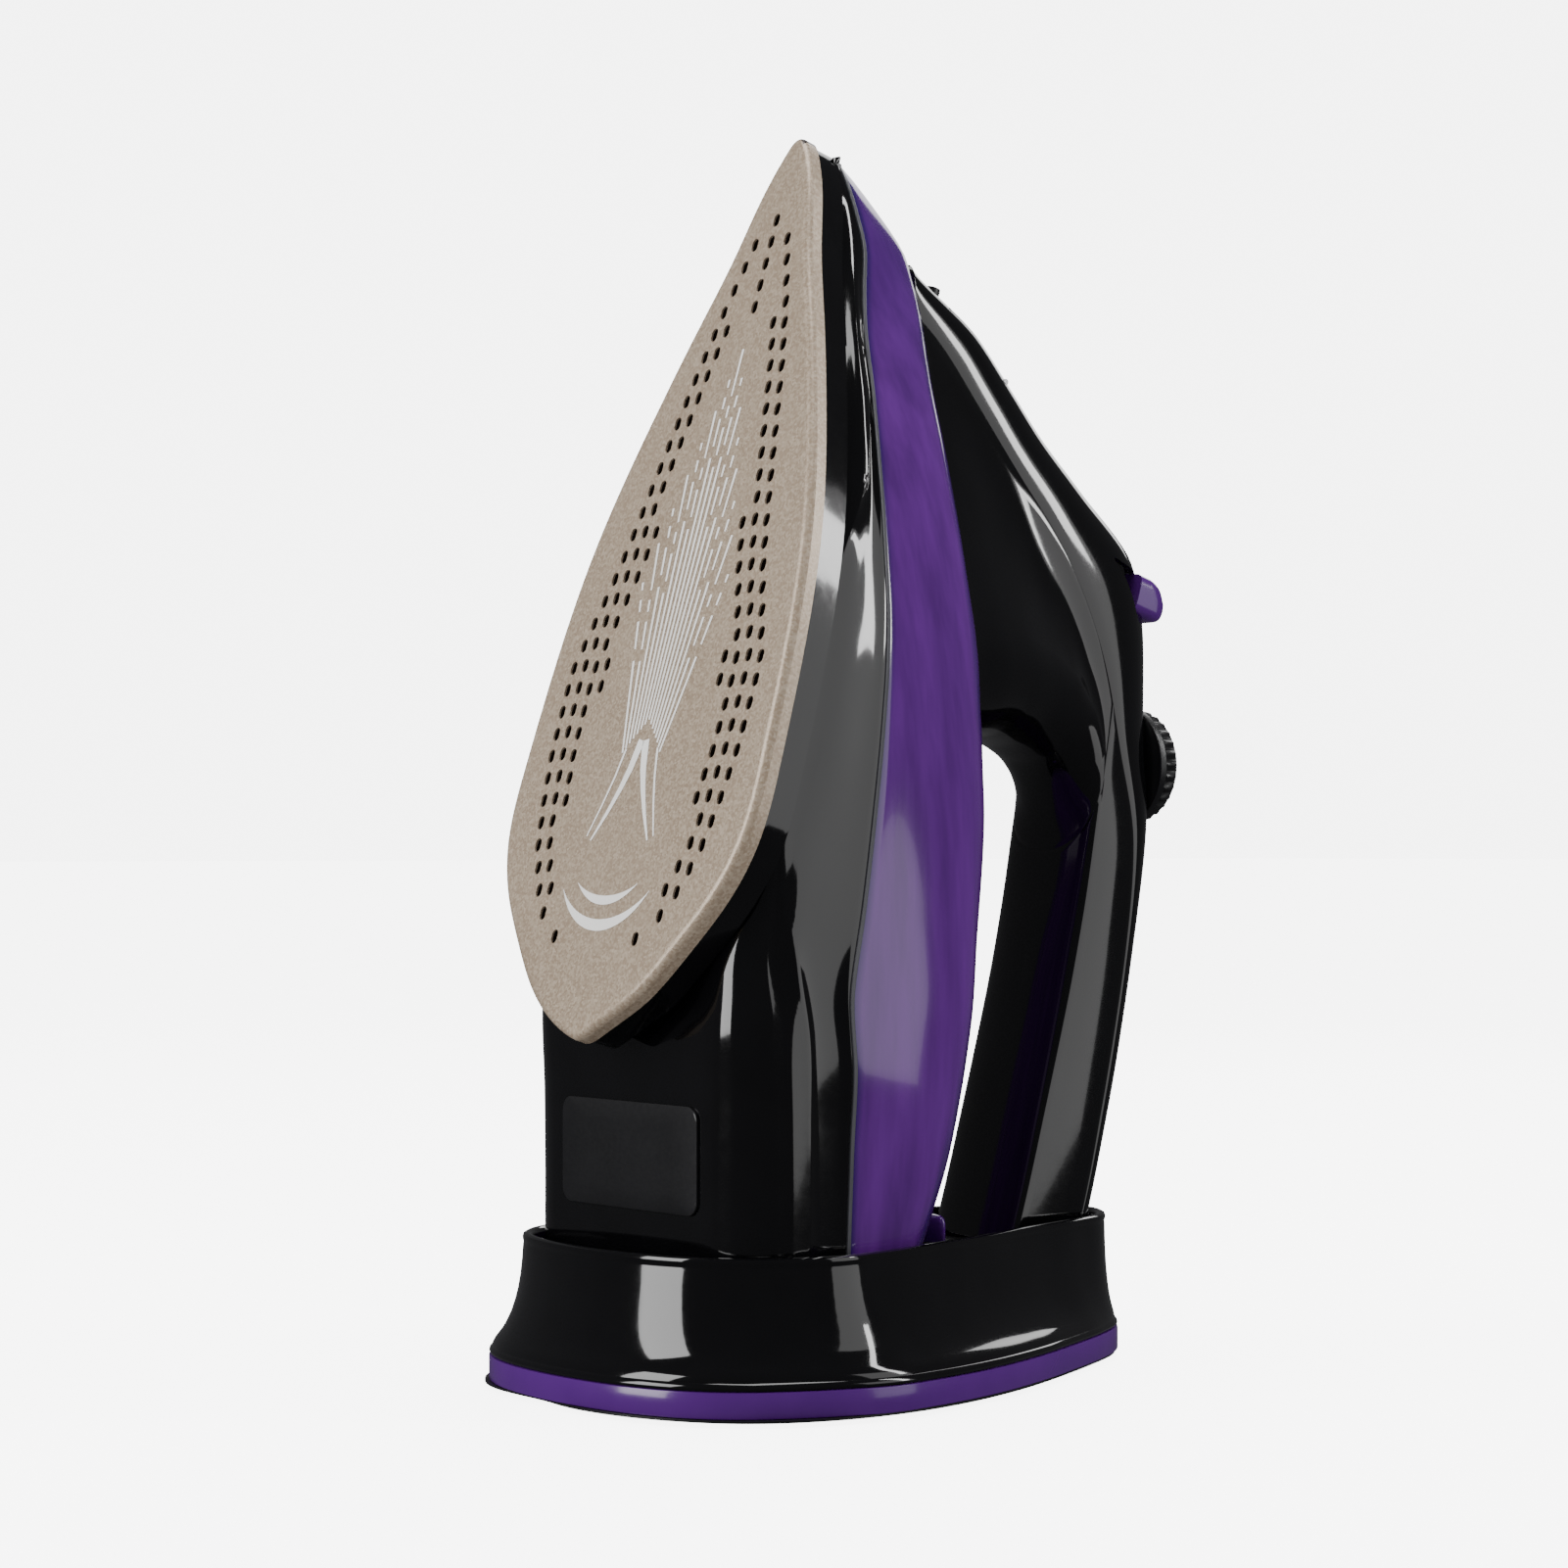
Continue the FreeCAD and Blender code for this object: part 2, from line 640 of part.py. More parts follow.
dial_axis_point = iron_point(size("dial_seat"), size("dial_up"))
DIAL_AXIS = V(0, SIN_LEAN, COS_LEAN)
dial_bore = Part.makeCylinder(
    size("dial_shaft_radius") + size("shaft_clearance"), 60,
    dial_axis_point - DIAL_AXIS * 40, DIAL_AXIS)
dial_flat = Part.makeBox(60, 60, 30)
dial_flat.Placement = FreeCAD.Placement(
    dial_axis_point - V(30, 0, 0) - V(0, COS_LEAN, -SIN_LEAN) * 30,
    FreeCAD.Rotation(V(1, 0, 0), V(0, COS_LEAN, -SIN_LEAN), DIAL_AXIS, "XYZ"))

wells = button_room(-1, size("button_gap")).fuse(button_room(1, size("button_gap")))
whole_front = front.cut(front_core)
door_stock = front.common(door_zone(0))
door_pin_hole = Part.makeCylinder(DOOR_PIN_RADIUS + size("shaft_clearance"), 30,
                                  V(-15, DOOR_PIN[0], DOOR_PIN[1]), V(1, 0, 0))
door_pin = Part.makeCylinder(DOOR_PIN_RADIUS, 2 * DOOR_HALF_WIDTH + 3,
                             V(-DOOR_HALF_WIDTH - 1.5, DOOR_PIN[0], DOOR_PIN[1]), V(1, 0, 0))
NOZZLE_BACK = along(198.0)
NOZZLE_LONG = along(8.2)
NOZZLE_BORE = 0.5
nozzle_hole = Part.makeCylinder(size("nozzle_radius") + size("shaft_clearance"), 40,
                                V(0, NOZZLE_BACK - 1, size("nozzle_up")), V(0, 1, 0))
cover = whole_front.cut(cap_zone).cut(door_zone(size("seam"))).cut(door_pin)
cover = cover.cut(wells).cut(nozzle_hole)
shaped("upper_cover", cover, IRON)
shaped("filling_door", door_stock.cut(door_pin_hole), IRON)
shaped("door_pin", door_pin, IRON)

whole_rear = rear.cut(rear_core)
shaped("handle_grip", whole_rear.cut(cap_zone), IRON)
handle_cap = whole_rear.common(cap_zone).fuse(whole_front.common(cap_zone))
shaped("handle_cap", handle_cap.cut(wells).cut(dial_flat).cut(dial_bore), IRON)


# ---------------------------------------------------------------- thumb buttons and pumps
STEM_RADIUS = 2.0


def thumb_button(side):
    """A crowned thumb button on a stem."""
    middle = side * size("button_pitch") / 2
    half = size("button_width") / 2
    start = BUTTON_START
    end = start + size("button_length")
    top = size("button_top")
    outline = [V(middle - half, start, top - 11), V(middle - half, end, top - 11),
               V(middle - half, end, top - 8), V(middle - half, end - 2, top - 2.6),
               V(middle - half, end - 5, top), V(middle - half, start + 1.5, top - 1.6),
               V(middle - half, start, top - 3)]
    head = Part.Face(Part.makePolygon(outline + outline[:1])).extrude(V(2 * half, 0, 0))
    across = [edge for edge in head.Edges
              if edge.BoundBox.XLength < 0.1 and edge.BoundBox.ZMin > top - 9]
    head = head.makeFillet(0.8, across)
    stem = Part.makeCylinder(STEM_RADIUS, top - 11 - size("button_root"),
                             V(middle, BUTTON_MIDDLE, size("button_root")))
    return head.fuse(stem)


PUMP_TALL = 22.0
PUMP_RADIUS = 5.2


def pump_body(side):
    """A plunger pump: a cup that takes the button's stem."""
    middle = side * size("button_pitch") / 2
    top = size("button_root") + 2
    cup = Part.makeCylinder(PUMP_RADIUS, PUMP_TALL, V(middle, BUTTON_MIDDLE, top - PUMP_TALL))
    room = Part.makeCylinder(STEM_RADIUS + size("shaft_clearance"), size("button_travel") + 4,
                             V(middle, BUTTON_MIDDLE, top - 2 - size("button_travel") - 1))
    return cup.cut(room)


for name, side in (("spray", 1), ("steam", -1)):
    shaped(name + "_button", thumb_button(side), IRON)
    shaped(name + "_pump", pump_body(side), IRON)


def hose(side, goal):
    """A soft water tube from a pump's foot down to where it delivers."""
    middle = side * size("button_pitch") / 2
    start = V(middle, BUTTON_MIDDLE, size("button_root") + 2 - PUMP_TALL)
    knee = V(middle, BUTTON_MIDDLE, start.z - 8)
    end = V(*goal)
    legs = []
    for low, high in ((start, knee), (knee, end)):
        run = high - low
        legs.append(Part.makeCylinder(size("hose_radius"), run.Length, low, run))
    return legs[0].fuse([Part.makeSphere(size("hose_radius"), knee), legs[1]])


shaped("spray_hose", hose(1, (0.0, along(195.4), size("nozzle_up") + 0.4)), IRON)
shaped("steam_hose", hose(-1, (-6.0, along(150.0), 57.0)), IRON)

nozzle = Part.makeCylinder(size("nozzle_radius"), NOZZLE_LONG,
                           V(0, NOZZLE_BACK, size("nozzle_up")), V(0, 1, 0))
nozzle_bore = Part.makeCylinder(NOZZLE_BORE, NOZZLE_LONG,
                                V(0, NOZZLE_BACK + 1, size("nozzle_up")), V(0, 1, 0))
shaped("spray_nozzle", nozzle.cut(nozzle_bore), IRON)

# ---------------------------------------------------------------- dial
DIAL_FRAME = FreeCAD.Placement(
    V(0, size("dock_shift") + size("dial_seat"), size("dial_up")),
    FreeCAD.Rotation(V(1, 0, 0), V(0, 0, -1), V(0, 1, 0), "XYZ"))

dial = new_body("dial_knob")
dial_round = new_sketch(dial, "dial_outline", lift="sizes.seam")
draw_circle(dial_round, "sizes.dial_radius")
pad(dial, dial_round, "sizes.dial_tall - sizes.seam")
dial_bore_sketch = new_sketch(dial, "dial_bore")
draw_circle(dial_bore_sketch, "sizes.dial_shaft_radius")
pocket(dial, dial_bore_sketch, "sizes.dial_tall * 0.6", reverse=True)
keep(dial, "dial_knob", DIAL_FRAME)

shaft = new_body("dial_shaft")
shaft_sketch = new_sketch(shaft, "dial_shaft_outline", lift="-sizes.dial_shaft_long")
draw_circle(shaft_sketch, "sizes.dial_shaft_radius")
pad(shaft, shaft_sketch, "sizes.dial_shaft_long + sizes.dial_tall * 0.6")
keep(shaft, "dial_shaft", DIAL_FRAME)


# ---------------------------------------------------------------- dock outlines
# Half outline of the dock from front to tail, as shares of half-width and length.
RIM_HALF = [(0, 0), (0.54, 0.022), (0.855, 0.09), (1, 0.211), (0.96, 0.313), (0.85, 0.441),
            (0.71, 0.582), (0.56, 0.722), (0.43, 0.85), (0.29, 0.945), (0, 1)]
BASE_HALF = [(0, 0), (0.5, 0.018), (0.84, 0.1), (1, 0.27), (0.98, 0.388), (0.886, 0.518),
             (0.74, 0.647), (0.565, 0.77), (0.4, 0.876), (0.22, 0.962), (0, 1)]


def ring_points(share, z):
    """Closed dock outline, blended from the base outline (0) to the rim outline (1)."""
    side = []
    for (rim_x, rim_y), (base_x, base_y) in zip(RIM_HALF, BASE_HALF):
        x = share * rim_x * size("rim_half_width") + (1 - share) * base_x * size("base_half_width")
        rim_back = size("rim_front") + rim_y * size("rim_length")
        base_back = size("base_front") + base_y * size("base_length")
        side.append(V(x, share * rim_back + (1 - share) * base_back, z))
    return side + mirrored(side)[1:-1]


def dock_wire(share, z, inset=0.0):
    return Part.Wire([spline(drawn_in(ring_points(share, z), inset), closed=True)])


def dock_slab(share, z, tall, inset=0.0):
    return Part.Face(dock_wire(share, z, inset)).extrude(V(0, 0, tall))


FLOOR_LOW = size("foot_tall")
FLOOR_TOP = FLOOR_LOW + size("floor_thick")
BAND_LOW = FLOOR_LOW + 0.6
BAND_TOP = BAND_LOW + size("band_tall")
SEAT_TOP = size("heel_floor")
SEAT_LOW = SEAT_TOP - size("seat_thick")
# Flare of the collar: (share of rim outline, share of its height).
FLARE = [(0, 0), (0.06, 0.045), (0.3, 0.13), (0.62, 0.3), (0.85, 0.52), (1, 1)]


def collar_loft(inset):
    tall = size("rim_up") - BAND_TOP
    return Part.makeLoft([dock_wire(share, BAND_TOP + rise * tall, inset)
                          for share, rise in FLARE], True, True)


# Cord inlet in the tail of the band: a sleeve with a through hole, ready for a cord.
GLAND_UP = FLOOR_TOP + size("gland_radius") + 0.4
GLAND_FRONT = size("base_front") + size("base_length") - size("gland_long") - 0.6
gland_room = Part.makeCylinder(size("gland_radius") + 0.1, size("gland_long") + 40,
                               V(0, GLAND_FRONT, GLAND_UP), V(0, 1, 0))
gland = Part.makeCylinder(size("gland_radius"), size("gland_long"),
                          V(0, GLAND_FRONT, GLAND_UP), V(0, 1, 0))
gland_hole = Part.makeCylinder(size("cord_hole_radius"), size("gland_long") + 40,
                               V(0, GLAND_FRONT - 5, GLAND_UP), V(0, 1, 0))
shaped("cord_gland", gland.cut(gland_hole), DOCK)

collar = collar_loft(0).cut(collar_loft(size("collar_wall")))
shaped("dock_collar", collar.cut(gland_room), DOCK)
band = dock_slab(0, BAND_LOW, size("band_tall")).cut(dock_slab(0, 0, 20, size("band_wall")))
shaped("dock_band", band.cut(gland_room), DOCK)

# ---------------------------------------------------------------- heel base
HEEL_INSET = size("collar_wall") + size("heel_clearance")
heel_block = dock_slab(1, SEAT_TOP, size("heel_top") - SEAT_TOP, HEEL_INSET)
heel_room = dock_slab(1, SEAT_TOP + size("heel_wall"),
                      size("heel_top") - SEAT_TOP - 2 * size("heel_wall"),
                      HEEL_INSET + size("heel_wall"))
TERMINAL_HALF_X = 27.0
TERMINAL_HALF_Y = 8.0
terminal_hole = wide_box(
    V(-TERMINAL_HALF_X, size("contacts_back") - TERMINAL_HALF_Y, 0),
    V(TERMINAL_HALF_X, size("contacts_back") + TERMINAL_HALF_Y, SEAT_TOP + size("heel_wall") + 1))
latch_hole = Part.makeCylinder(size("latch_shaft_radius") + size("shaft_clearance"), 60,
                               V(0, size("latch_back"), 0))
LATCH_ROOM_RADIUS = 13.0
latch_room = Part.makeCylinder(LATCH_ROOM_RADIUS, 8.0, V(0, size("latch_back"), SEAT_TOP - 1))
heel_base = heel_block.cut(heel_room).cut(terminal_hole).cut(latch_hole).cut(latch_room)
shaped("heel_base", heel_base, DOCK)

terminal = new_body("terminal_block")
terminal_sketch = new_sketch(terminal, "terminal_outline",
                             lift="sizes.heel_floor + sizes.pad_lift + sizes.pad_thick")
draw_box(terminal_sketch, "-sizes.terminal_half_width", "sizes.terminal_half_width",
         "sizes.contacts_back - sizes.terminal_half_depth",
         "sizes.contacts_back + sizes.terminal_half_depth")
pad(terminal, terminal_sketch, "sizes.terminal_tall")
keep(terminal, "terminal_block", DOCK)

for group, radius, low, tall in (
        ("contact_pads", "sizes.pad_radius", "sizes.heel_floor + sizes.pad_lift",
         "sizes.pad_thick"),
        ("dock_contacts", "sizes.contact_radius", "sizes.heel_floor - sizes.contacts_drop",
         "sizes.contacts_drop + sizes.pad_lift - 0.2")):
    contacts = new_body(group)
    contact_sketch = new_sketch(contacts, group + "_outline", lift=low)
    for column in (-1, 0, 1):
        draw_circle(contact_sketch, radius, "%d * sizes.pad_pitch" % column, "sizes.contacts_back")
    contacts.AllowCompound = True
    pad(contacts, contact_sketch, tall)
    keep(contacts, group, DOCK)

# ---------------------------------------------------------------- heel panel
panel = new_body("heel_panel")
panel_sketch = new_sketch(panel, "heel_panel_outline", role="XZ_Plane",
                          lift="-sizes.neck_front + sizes.panel_gap")
draw_box(panel_sketch, "-sizes.panel_width / 2", "sizes.panel_width / 2",
         "sizes.panel_up - sizes.panel_tall / 2", "sizes.panel_up + sizes.panel_tall / 2")
pad(panel, panel_sketch, "sizes.panel_thick")
keep(panel, "heel_panel", DOCK)

# ---------------------------------------------------------------- thumb latch
latch = new_body("latch_turn")
latch_sketch = new_sketch(latch, "latch_outline", lift="sizes.heel_top + sizes.seam")
draw_box(latch_sketch, "-sizes.latch_span", "sizes.latch_span",
         "sizes.latch_back - sizes.latch_lobe * 0.7", "sizes.latch_back + sizes.latch_lobe * 0.7")
pad(latch, latch_sketch, "sizes.latch_tall")
keep(latch, "latch_turn", DOCK)
latch_shaft = new_body("latch_shaft")
latch_shaft_sketch = new_sketch(latch_shaft, "latch_shaft_outline", 
                                lift="sizes.heel_floor + sizes.bolt_lift + sizes.bolt_thick")
draw_circle(latch_shaft_sketch, "sizes.latch_shaft_radius", up_sheet="sizes.latch_back")
pad(latch_shaft, latch_shaft_sketch,
    "sizes.heel_top - sizes.heel_floor - sizes.bolt_lift - sizes.bolt_thick + sizes.seam")
keep(latch_shaft, "latch_shaft", DOCK)
latch_bolt = new_body("latch_bolt")
latch_bolt_sketch = new_sketch(latch_bolt, "latch_bolt_outline",
                               lift="sizes.heel_floor + sizes.bolt_lift")
draw_box(latch_bolt_sketch, "-sizes.bolt_reach", "sizes.bolt_width / 2",
         "sizes.latch_back - sizes.bolt_width / 2", "sizes.latch_back + sizes.bolt_width / 2")
pad(latch_bolt, latch_bolt_sketch, "sizes.bolt_thick")
keep(latch_bolt, "latch_bolt", DOCK)

# ---------------------------------------------------------------- dock inside
POST_PLACES = [(-38, -36), (38, -36), (-22, 34), (22, 34)]
SCREW_LOW = FLOOR_LOW + 0.2
SCREW_LONG = 7.6
SCREW_HEAD_TALL = 1.0
post_bores = [Part.makeCylinder(size("screw_radius") + 0.1, 30, V(x, y, 0))
              for x, y in POST_PLACES]
head_rooms = [Part.makeCylinder(size("screw_head_radius") + 0.2, SCREW_HEAD_TALL + 0.3,
                                V(x, y, FLOOR_LOW - 0.1)) for x, y in POST_PLACES]
floor_rim = dock_slab(0, FLOOR_LOW, BAND_LOW - FLOOR_LOW, 0.8)
floor_plate = dock_slab(0, BAND_LOW, FLOOR_TOP - BAND_LOW, size("band_wall") + 0.2)
dock_floor = floor_rim.fuse(floor_plate).cut(Part.makeCompound(head_rooms + post_bores))
shaped("dock_floor", dock_floor.cut(gland_room), DOCK)

seat = dock_slab(1, SEAT_LOW, size("seat_thick"), size("collar_wall") + 0.3)
contact_holes = [Part.makeCylinder(size("contact_radius") + 0.3, 40,
                                   V(column * size("pad_pitch"), size("contacts_back"), 0))
                 for column in (-1, 0, 1)]
shaped("dock_seat", seat.cut(Part.makeCompound(contact_holes)).cut(gland_room), DOCK)

posts = [Part.makeCylinder(size("post_radius"), SEAT_LOW - FLOOR_TOP, V(x, y, FLOOR_TOP))
         for x, y in POST_PLACES]
shaped("dock_posts", Part.makeCompound(
    [post.cut(bore) for post, bore in zip(posts, post_bores)]), DOCK)

# ---------------------------------------------------------------- feet, screws, terminals
FOOT_PLACES = [(-40, -48), (40, -48), (-24, 44), (24, 44)]
feet = new_body("dock_feet")
feet_sketch = new_sketch(feet, "feet_outline")
for x, y in FOOT_PLACES:
    draw_circle(feet_sketch, "sizes.foot_radius", str(x), str(y))
feet.AllowCompound = True
pad(feet, feet_sketch, "sizes.foot_tall")
keep(feet, "dock_feet", DOCK)

screws = []
for x, y in POST_PLACES:
    shank = Part.makeCylinder(size("screw_radius"), SCREW_LONG, V(x, y, SCREW_LOW))
    head = Part.makeCylinder(size("screw_head_radius"), SCREW_HEAD_TALL, V(x, y, SCREW_LOW))
    screws.append(shank.fuse(head))
screw_node = doc.addObject("Part::Feature", "dock_screws")
screw_node.Shape = Part.makeCompound(screws)
keep(screw_node, "dock_screws", DOCK)

carrier = new_body("contact_carrier")
carrier_sketch = new_sketch(carrier, "carrier_outline", lift="sizes.foot_tall + sizes.floor_thick")
draw_box(carrier_sketch, "-sizes.carrier_half_width", "sizes.carrier_half_width",
         "sizes.contacts_back - sizes.carrier_half_depth",
         "sizes.contacts_back + sizes.carrier_half_depth")
pad(carrier, carrier_sketch,
    "sizes.heel_floor - sizes.contacts_drop - sizes.foot_tall - sizes.floor_thick")
keep(carrier, "contact_carrier", DOCK)

# Keeper of the thumb latch: a hooked post that the bolt swings under.
KEEPER_HALF_WIDTH = 3.0
KEEPER_WALL = 0.8
KEEPER_TALL = 5.0
HOOK_THICK = 2.0
HOOK_REACH = 4.0
keeper_inner = size("latch_back") - size("bolt_reach") - 0.9
keeper_post = wide_box(V(-KEEPER_HALF_WIDTH, keeper_inner - KEEPER_WALL, SEAT_TOP),
                       V(KEEPER_HALF_WIDTH, keeper_inner, SEAT_TOP + KEEPER_TALL))
keeper_hook = wide_box(
    V(-KEEPER_HALF_WIDTH, keeper_inner - KEEPER_WALL, SEAT_TOP + KEEPER_TALL - HOOK_THICK),
    V(KEEPER_HALF_WIDTH, keeper_inner + HOOK_REACH, SEAT_TOP + KEEPER_TALL))
shaped("latch_keeper", keeper_post.fuse(keeper_hook), DOCK)

# ---------------------------------------------------------------- heater fittings
# A thermostat, a thermal fuse on its strap, the drip valve and the screws of the chamber lid.
THERMOSTAT_BACK = along(110)
thermostat_can = Part.makeCylinder(9.0, 6.0, V(0, THERMOSTAT_BACK, LID_TOP))
thermostat_stem = Part.makeCylinder(3.5, 5.0, V(0, THERMOSTAT_BACK, LID_TOP + 6))
shaped("thermostat", thermostat_can.fuse(thermostat_stem), IRON)
FUSE_BACK = along(82)
FUSE_RADIUS = 2.6
STRAP_THICK = 1.0
fuse_strap = wide_box(V(-14, FUSE_BACK - 4, LID_TOP), V(14, FUSE_BACK + 4, LID_TOP + STRAP_THICK))
fuse = Part.makeCylinder(FUSE_RADIUS, 16, V(-8, FUSE_BACK, LID_TOP + STRAP_THICK + FUSE_RADIUS - 0.3),
                         V(1, 0, 0))
shaped("thermal_fuse", fuse_strap.fuse(fuse), IRON)
shaped("drip_valve", Part.makeCylinder(4.0, 6.6, V(0, along(140), LID_TOP)), IRON)
LID_SCREW_PLACES = [(-20, 56), (20, 56), (-14, 150), (14, 150)]
LID_SCREW_TALL = 1.8
lid_screws = [Part.makeCylinder(size("screw_head_radius"), LID_SCREW_TALL,
                                V(across(x), along(y), LID_TOP)) for x, y in LID_SCREW_PLACES]
lid_screw_node = doc.addObject("Part::Feature", "lid_screws")
lid_screw_node.Shape = Part.makeCompound(lid_screws)
keep(lid_screw_node, "lid_screws", IRON)

# ---------------------------------------------------------------- check and export
doc.recompute()
for item in doc.Objects:
    if "Invalid" in item.State or "Error" in item.State:
        raise RuntimeError("%s did not recompute: %s" % (item.Name, item.State))
for node in NODES:
    if node.Shape.isNull() or not node.Shape.isValid():
        raise RuntimeError(node.Label + " has no valid shape")
    node.Shape.exportStep("parts/%s.step" % node.Label)
    box = node.Shape.optimalBoundingBox()
    print("%-18s %2d solids %9.0f mm3  X %6.1f %6.1f  Y %6.1f %6.1f  Z %6.1f %6.1f" % (
        node.Label, len(node.Shape.Solids), node.Shape.Volume,
        box.XMin, box.XMax, box.YMin, box.YMax, box.ZMin, box.ZMax))
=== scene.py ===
# %% [markdown]
# # A cordless steam iron on its docking base
# The iron stands on its heel in a black dock with a violet band. The measured frame gives every
# piece its place, and the cells below build the pieces that are seen, then their finishes,
# the light and the camera. Lengths are in millimetres until a mesh is made, then in metres.

# %% Load the measured frame
import math

import bpy
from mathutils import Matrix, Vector


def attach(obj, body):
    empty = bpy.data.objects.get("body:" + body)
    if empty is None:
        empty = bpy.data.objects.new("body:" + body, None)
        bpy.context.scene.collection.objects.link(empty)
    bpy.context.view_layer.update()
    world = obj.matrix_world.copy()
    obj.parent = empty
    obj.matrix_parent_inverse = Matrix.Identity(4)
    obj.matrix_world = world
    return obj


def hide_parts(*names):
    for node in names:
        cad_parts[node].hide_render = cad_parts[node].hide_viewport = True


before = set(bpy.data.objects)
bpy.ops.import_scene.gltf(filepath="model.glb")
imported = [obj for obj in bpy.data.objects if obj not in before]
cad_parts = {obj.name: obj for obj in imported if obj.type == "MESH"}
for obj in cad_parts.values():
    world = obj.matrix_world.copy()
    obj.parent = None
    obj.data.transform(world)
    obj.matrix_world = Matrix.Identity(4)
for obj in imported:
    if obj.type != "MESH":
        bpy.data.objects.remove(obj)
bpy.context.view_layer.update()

# %% [markdown]
# ## Where things are
# Two rulers are used. The dock ruler is the room itself, with the dock's front towards -Y.
# The iron ruler follows the soleplate: y runs along it from heel to tip, and z stands away from
# the ironing face. The iron leans back, so one function turns iron places into room places.

# %% Rulers
MM = 0.001
LEAN = math.radians(17.24)          # the iron leans back by this much in the dock
HEEL_PLACE = (-88.2, 84.7)          # heel of the soleplate: room Y and Z
DOCK_SHIFT = -13.9                  # room Y of the dock ruler's middle
PLATE_LENGTH = 225.0


def iron_place(x, y, z):
    """A place on the iron ruler, in metres in the room."""
    back = HEEL_PLACE[0] + y * math.sin(LEAN) + z * math.cos(LEAN)
    up = HEEL_PLACE[1] + y * math.cos(LEAN) - z * math.sin(LEAN)
    return Vector((-x, back, up)) * MM


def dock_place(x, y, z):
    """A place on the dock ruler, in metres in the room."""
    return Vector((x, y + DOCK_SHIFT, z)) * MM


print("tip of the iron (m):", iron_place(0, PLATE_LENGTH, 0))

# %% [markdown]
# ## Smooth tables
# A moulder draws a few sections and lets a spline run through them. The same is done here:
# a table holds a few rows, and a smooth reading gives every row in between.


# %% Smooth reading of a table
def smooth_row(table, at):
    """Reads a table of rows, each (place, value, ...), along a smooth curve through them."""
    places = [row[0] for row in table]
    at = min(max(at, places[0]), places[-1])
    high = next(i for i in range(1, len(places)) if at <= places[i])
    low = high - 1
    step = places[high] - places[low]
    share = (at - places[low]) / step
    values = []
    for column in range(1, len(table[0])):
        first, last = table[low][column], table[high][column]
        rise = (last - first) / step
        slopes = []
        for here, other in ((low, low - 1), (high, high + 1)):
            if 0 <= other < len(table):
                beyond = ((table[other][column] - table[here][column])
                          / (table[other][0] - table[here][0]))
                slopes.append(0.0 if beyond * rise <= 0 else 2 * beyond * rise / (beyond + rise))
            else:
                slopes.append(rise)
        a, b = slopes[0] * step, slopes[1] * step
        t2, t3 = share * share, share ** 3
        values.append((2 * t3 - 3 * t2 + 1) * first + (t3 - 2 * t2 + share) * a
                      + (3 * t2 - 2 * t3) * last + (t3 - t2) * b)
    return values


def spline_place(four, t):
    """A place between the middle two of four points, on a smooth curve through them."""
    return tuple(0.5 * (2 * b + (c - a) * t + (2 * a - 5 * b + 4 * c - d) * t * t
                        + (3 * b - a - 3 * c + d) * t ** 3)
                 for a, b, c, d in zip(*four))


def flowing(points, count):
    """Evenly spaced points along a smooth open curve through a few (x, z) points."""
    fine = []
    ends = ([tuple(2 * a - b for a, b in zip(points[0], points[1]))] + points
            + [tuple(2 * a - b for a, b in zip(points[-1], points[-2]))])
    for i in range(1, len(ends) - 2):
        fine += [spline_place(ends[i - 1:i + 3], step / 16) for step in range(16)]
    fine.append(points[-1])
    return evenly(fine, count)


def evenly(points, count):
    """The same line with a set number of evenly spaced points."""
    runs = [0.0]
    for a, b in zip(points, points[1:]):
        runs.append(runs[-1] + math.dist(a, b))
    spaced = []
    spot = 0
    for step in range(count):
        goal = runs[-1] * step / (count - 1)
        while spot < len(runs) - 2 and runs[spot + 1] < goal:
            spot += 1
        span = runs[spot + 1] - runs[spot]
        share = (goal - runs[spot]) / span if span else 0.0
        spaced.append(tuple(a + share * (b - a)
                            for a, b in zip(points[spot], points[spot + 1])))
    return spaced


# %% [markdown]
# ## From rows of points to a skin
# A moulded shell can be boxed out by hand, but its edges must lie exactly on the seams.
# So a flat grid is added, its points are put on the section lines, and Solidify and Bevel
# give it a wall and soft edges, as the mould does.


# %% Skin helpers
SAME_SPOT = 0.00001                 # points nearer than this, in metres, are one point
BEVEL_FROM = math.radians(50)       # only edges sharper than this are softened


def start_clean():
    """Leaves edit mode and selects nothing."""
    if bpy.context.object and bpy.context.object.mode != "OBJECT":
        bpy.ops.object.mode_set(mode="OBJECT")
    bpy.ops.object.select_all(action="DESELECT")


def made(name):
    """Names the newly added object and hands it back."""
    piece = bpy.context.object
    piece.name = name
    piece.data.name = name
    return piece


def chosen(piece):
    """Makes one piece the only selected and active one."""
    start_clean()
    piece.select_set(True)
    bpy.context.view_layer.objects.active = piece


def edit_all(piece):
    """Opens a piece for editing with all of its mesh selected."""
    chosen(piece)
    bpy.ops.object.mode_set(mode="EDIT")
    bpy.ops.mesh.select_all(action="SELECT")


def apply_modifier(piece, kind, **settings):
    """Adds one modifier with its settings and applies it."""
    chosen(piece)
    modifier = piece.modifiers.new(kind.title(), kind)
    for key, value in settings.items():
        setattr(modifier, key, value)
    bpy.ops.object.modifier_apply(modifier=modifier.name)


def tidy_faces(piece, merge=SAME_SPOT):
    """Merges doubles and turns every face outwards."""
    edit_all(piece)
    bpy.ops.mesh.remove_doubles(threshold=merge)
    bpy.ops.mesh.normals_make_consistent(inside=False)
    bpy.ops.object.mode_set(mode="OBJECT")


def smooth_look(piece, angle=32):
    """Shades a piece smooth, with edges sharper than the angle left crisp."""
    chosen(piece)
    bpy.ops.object.shade_smooth_by_angle(angle=math.radians(angle))


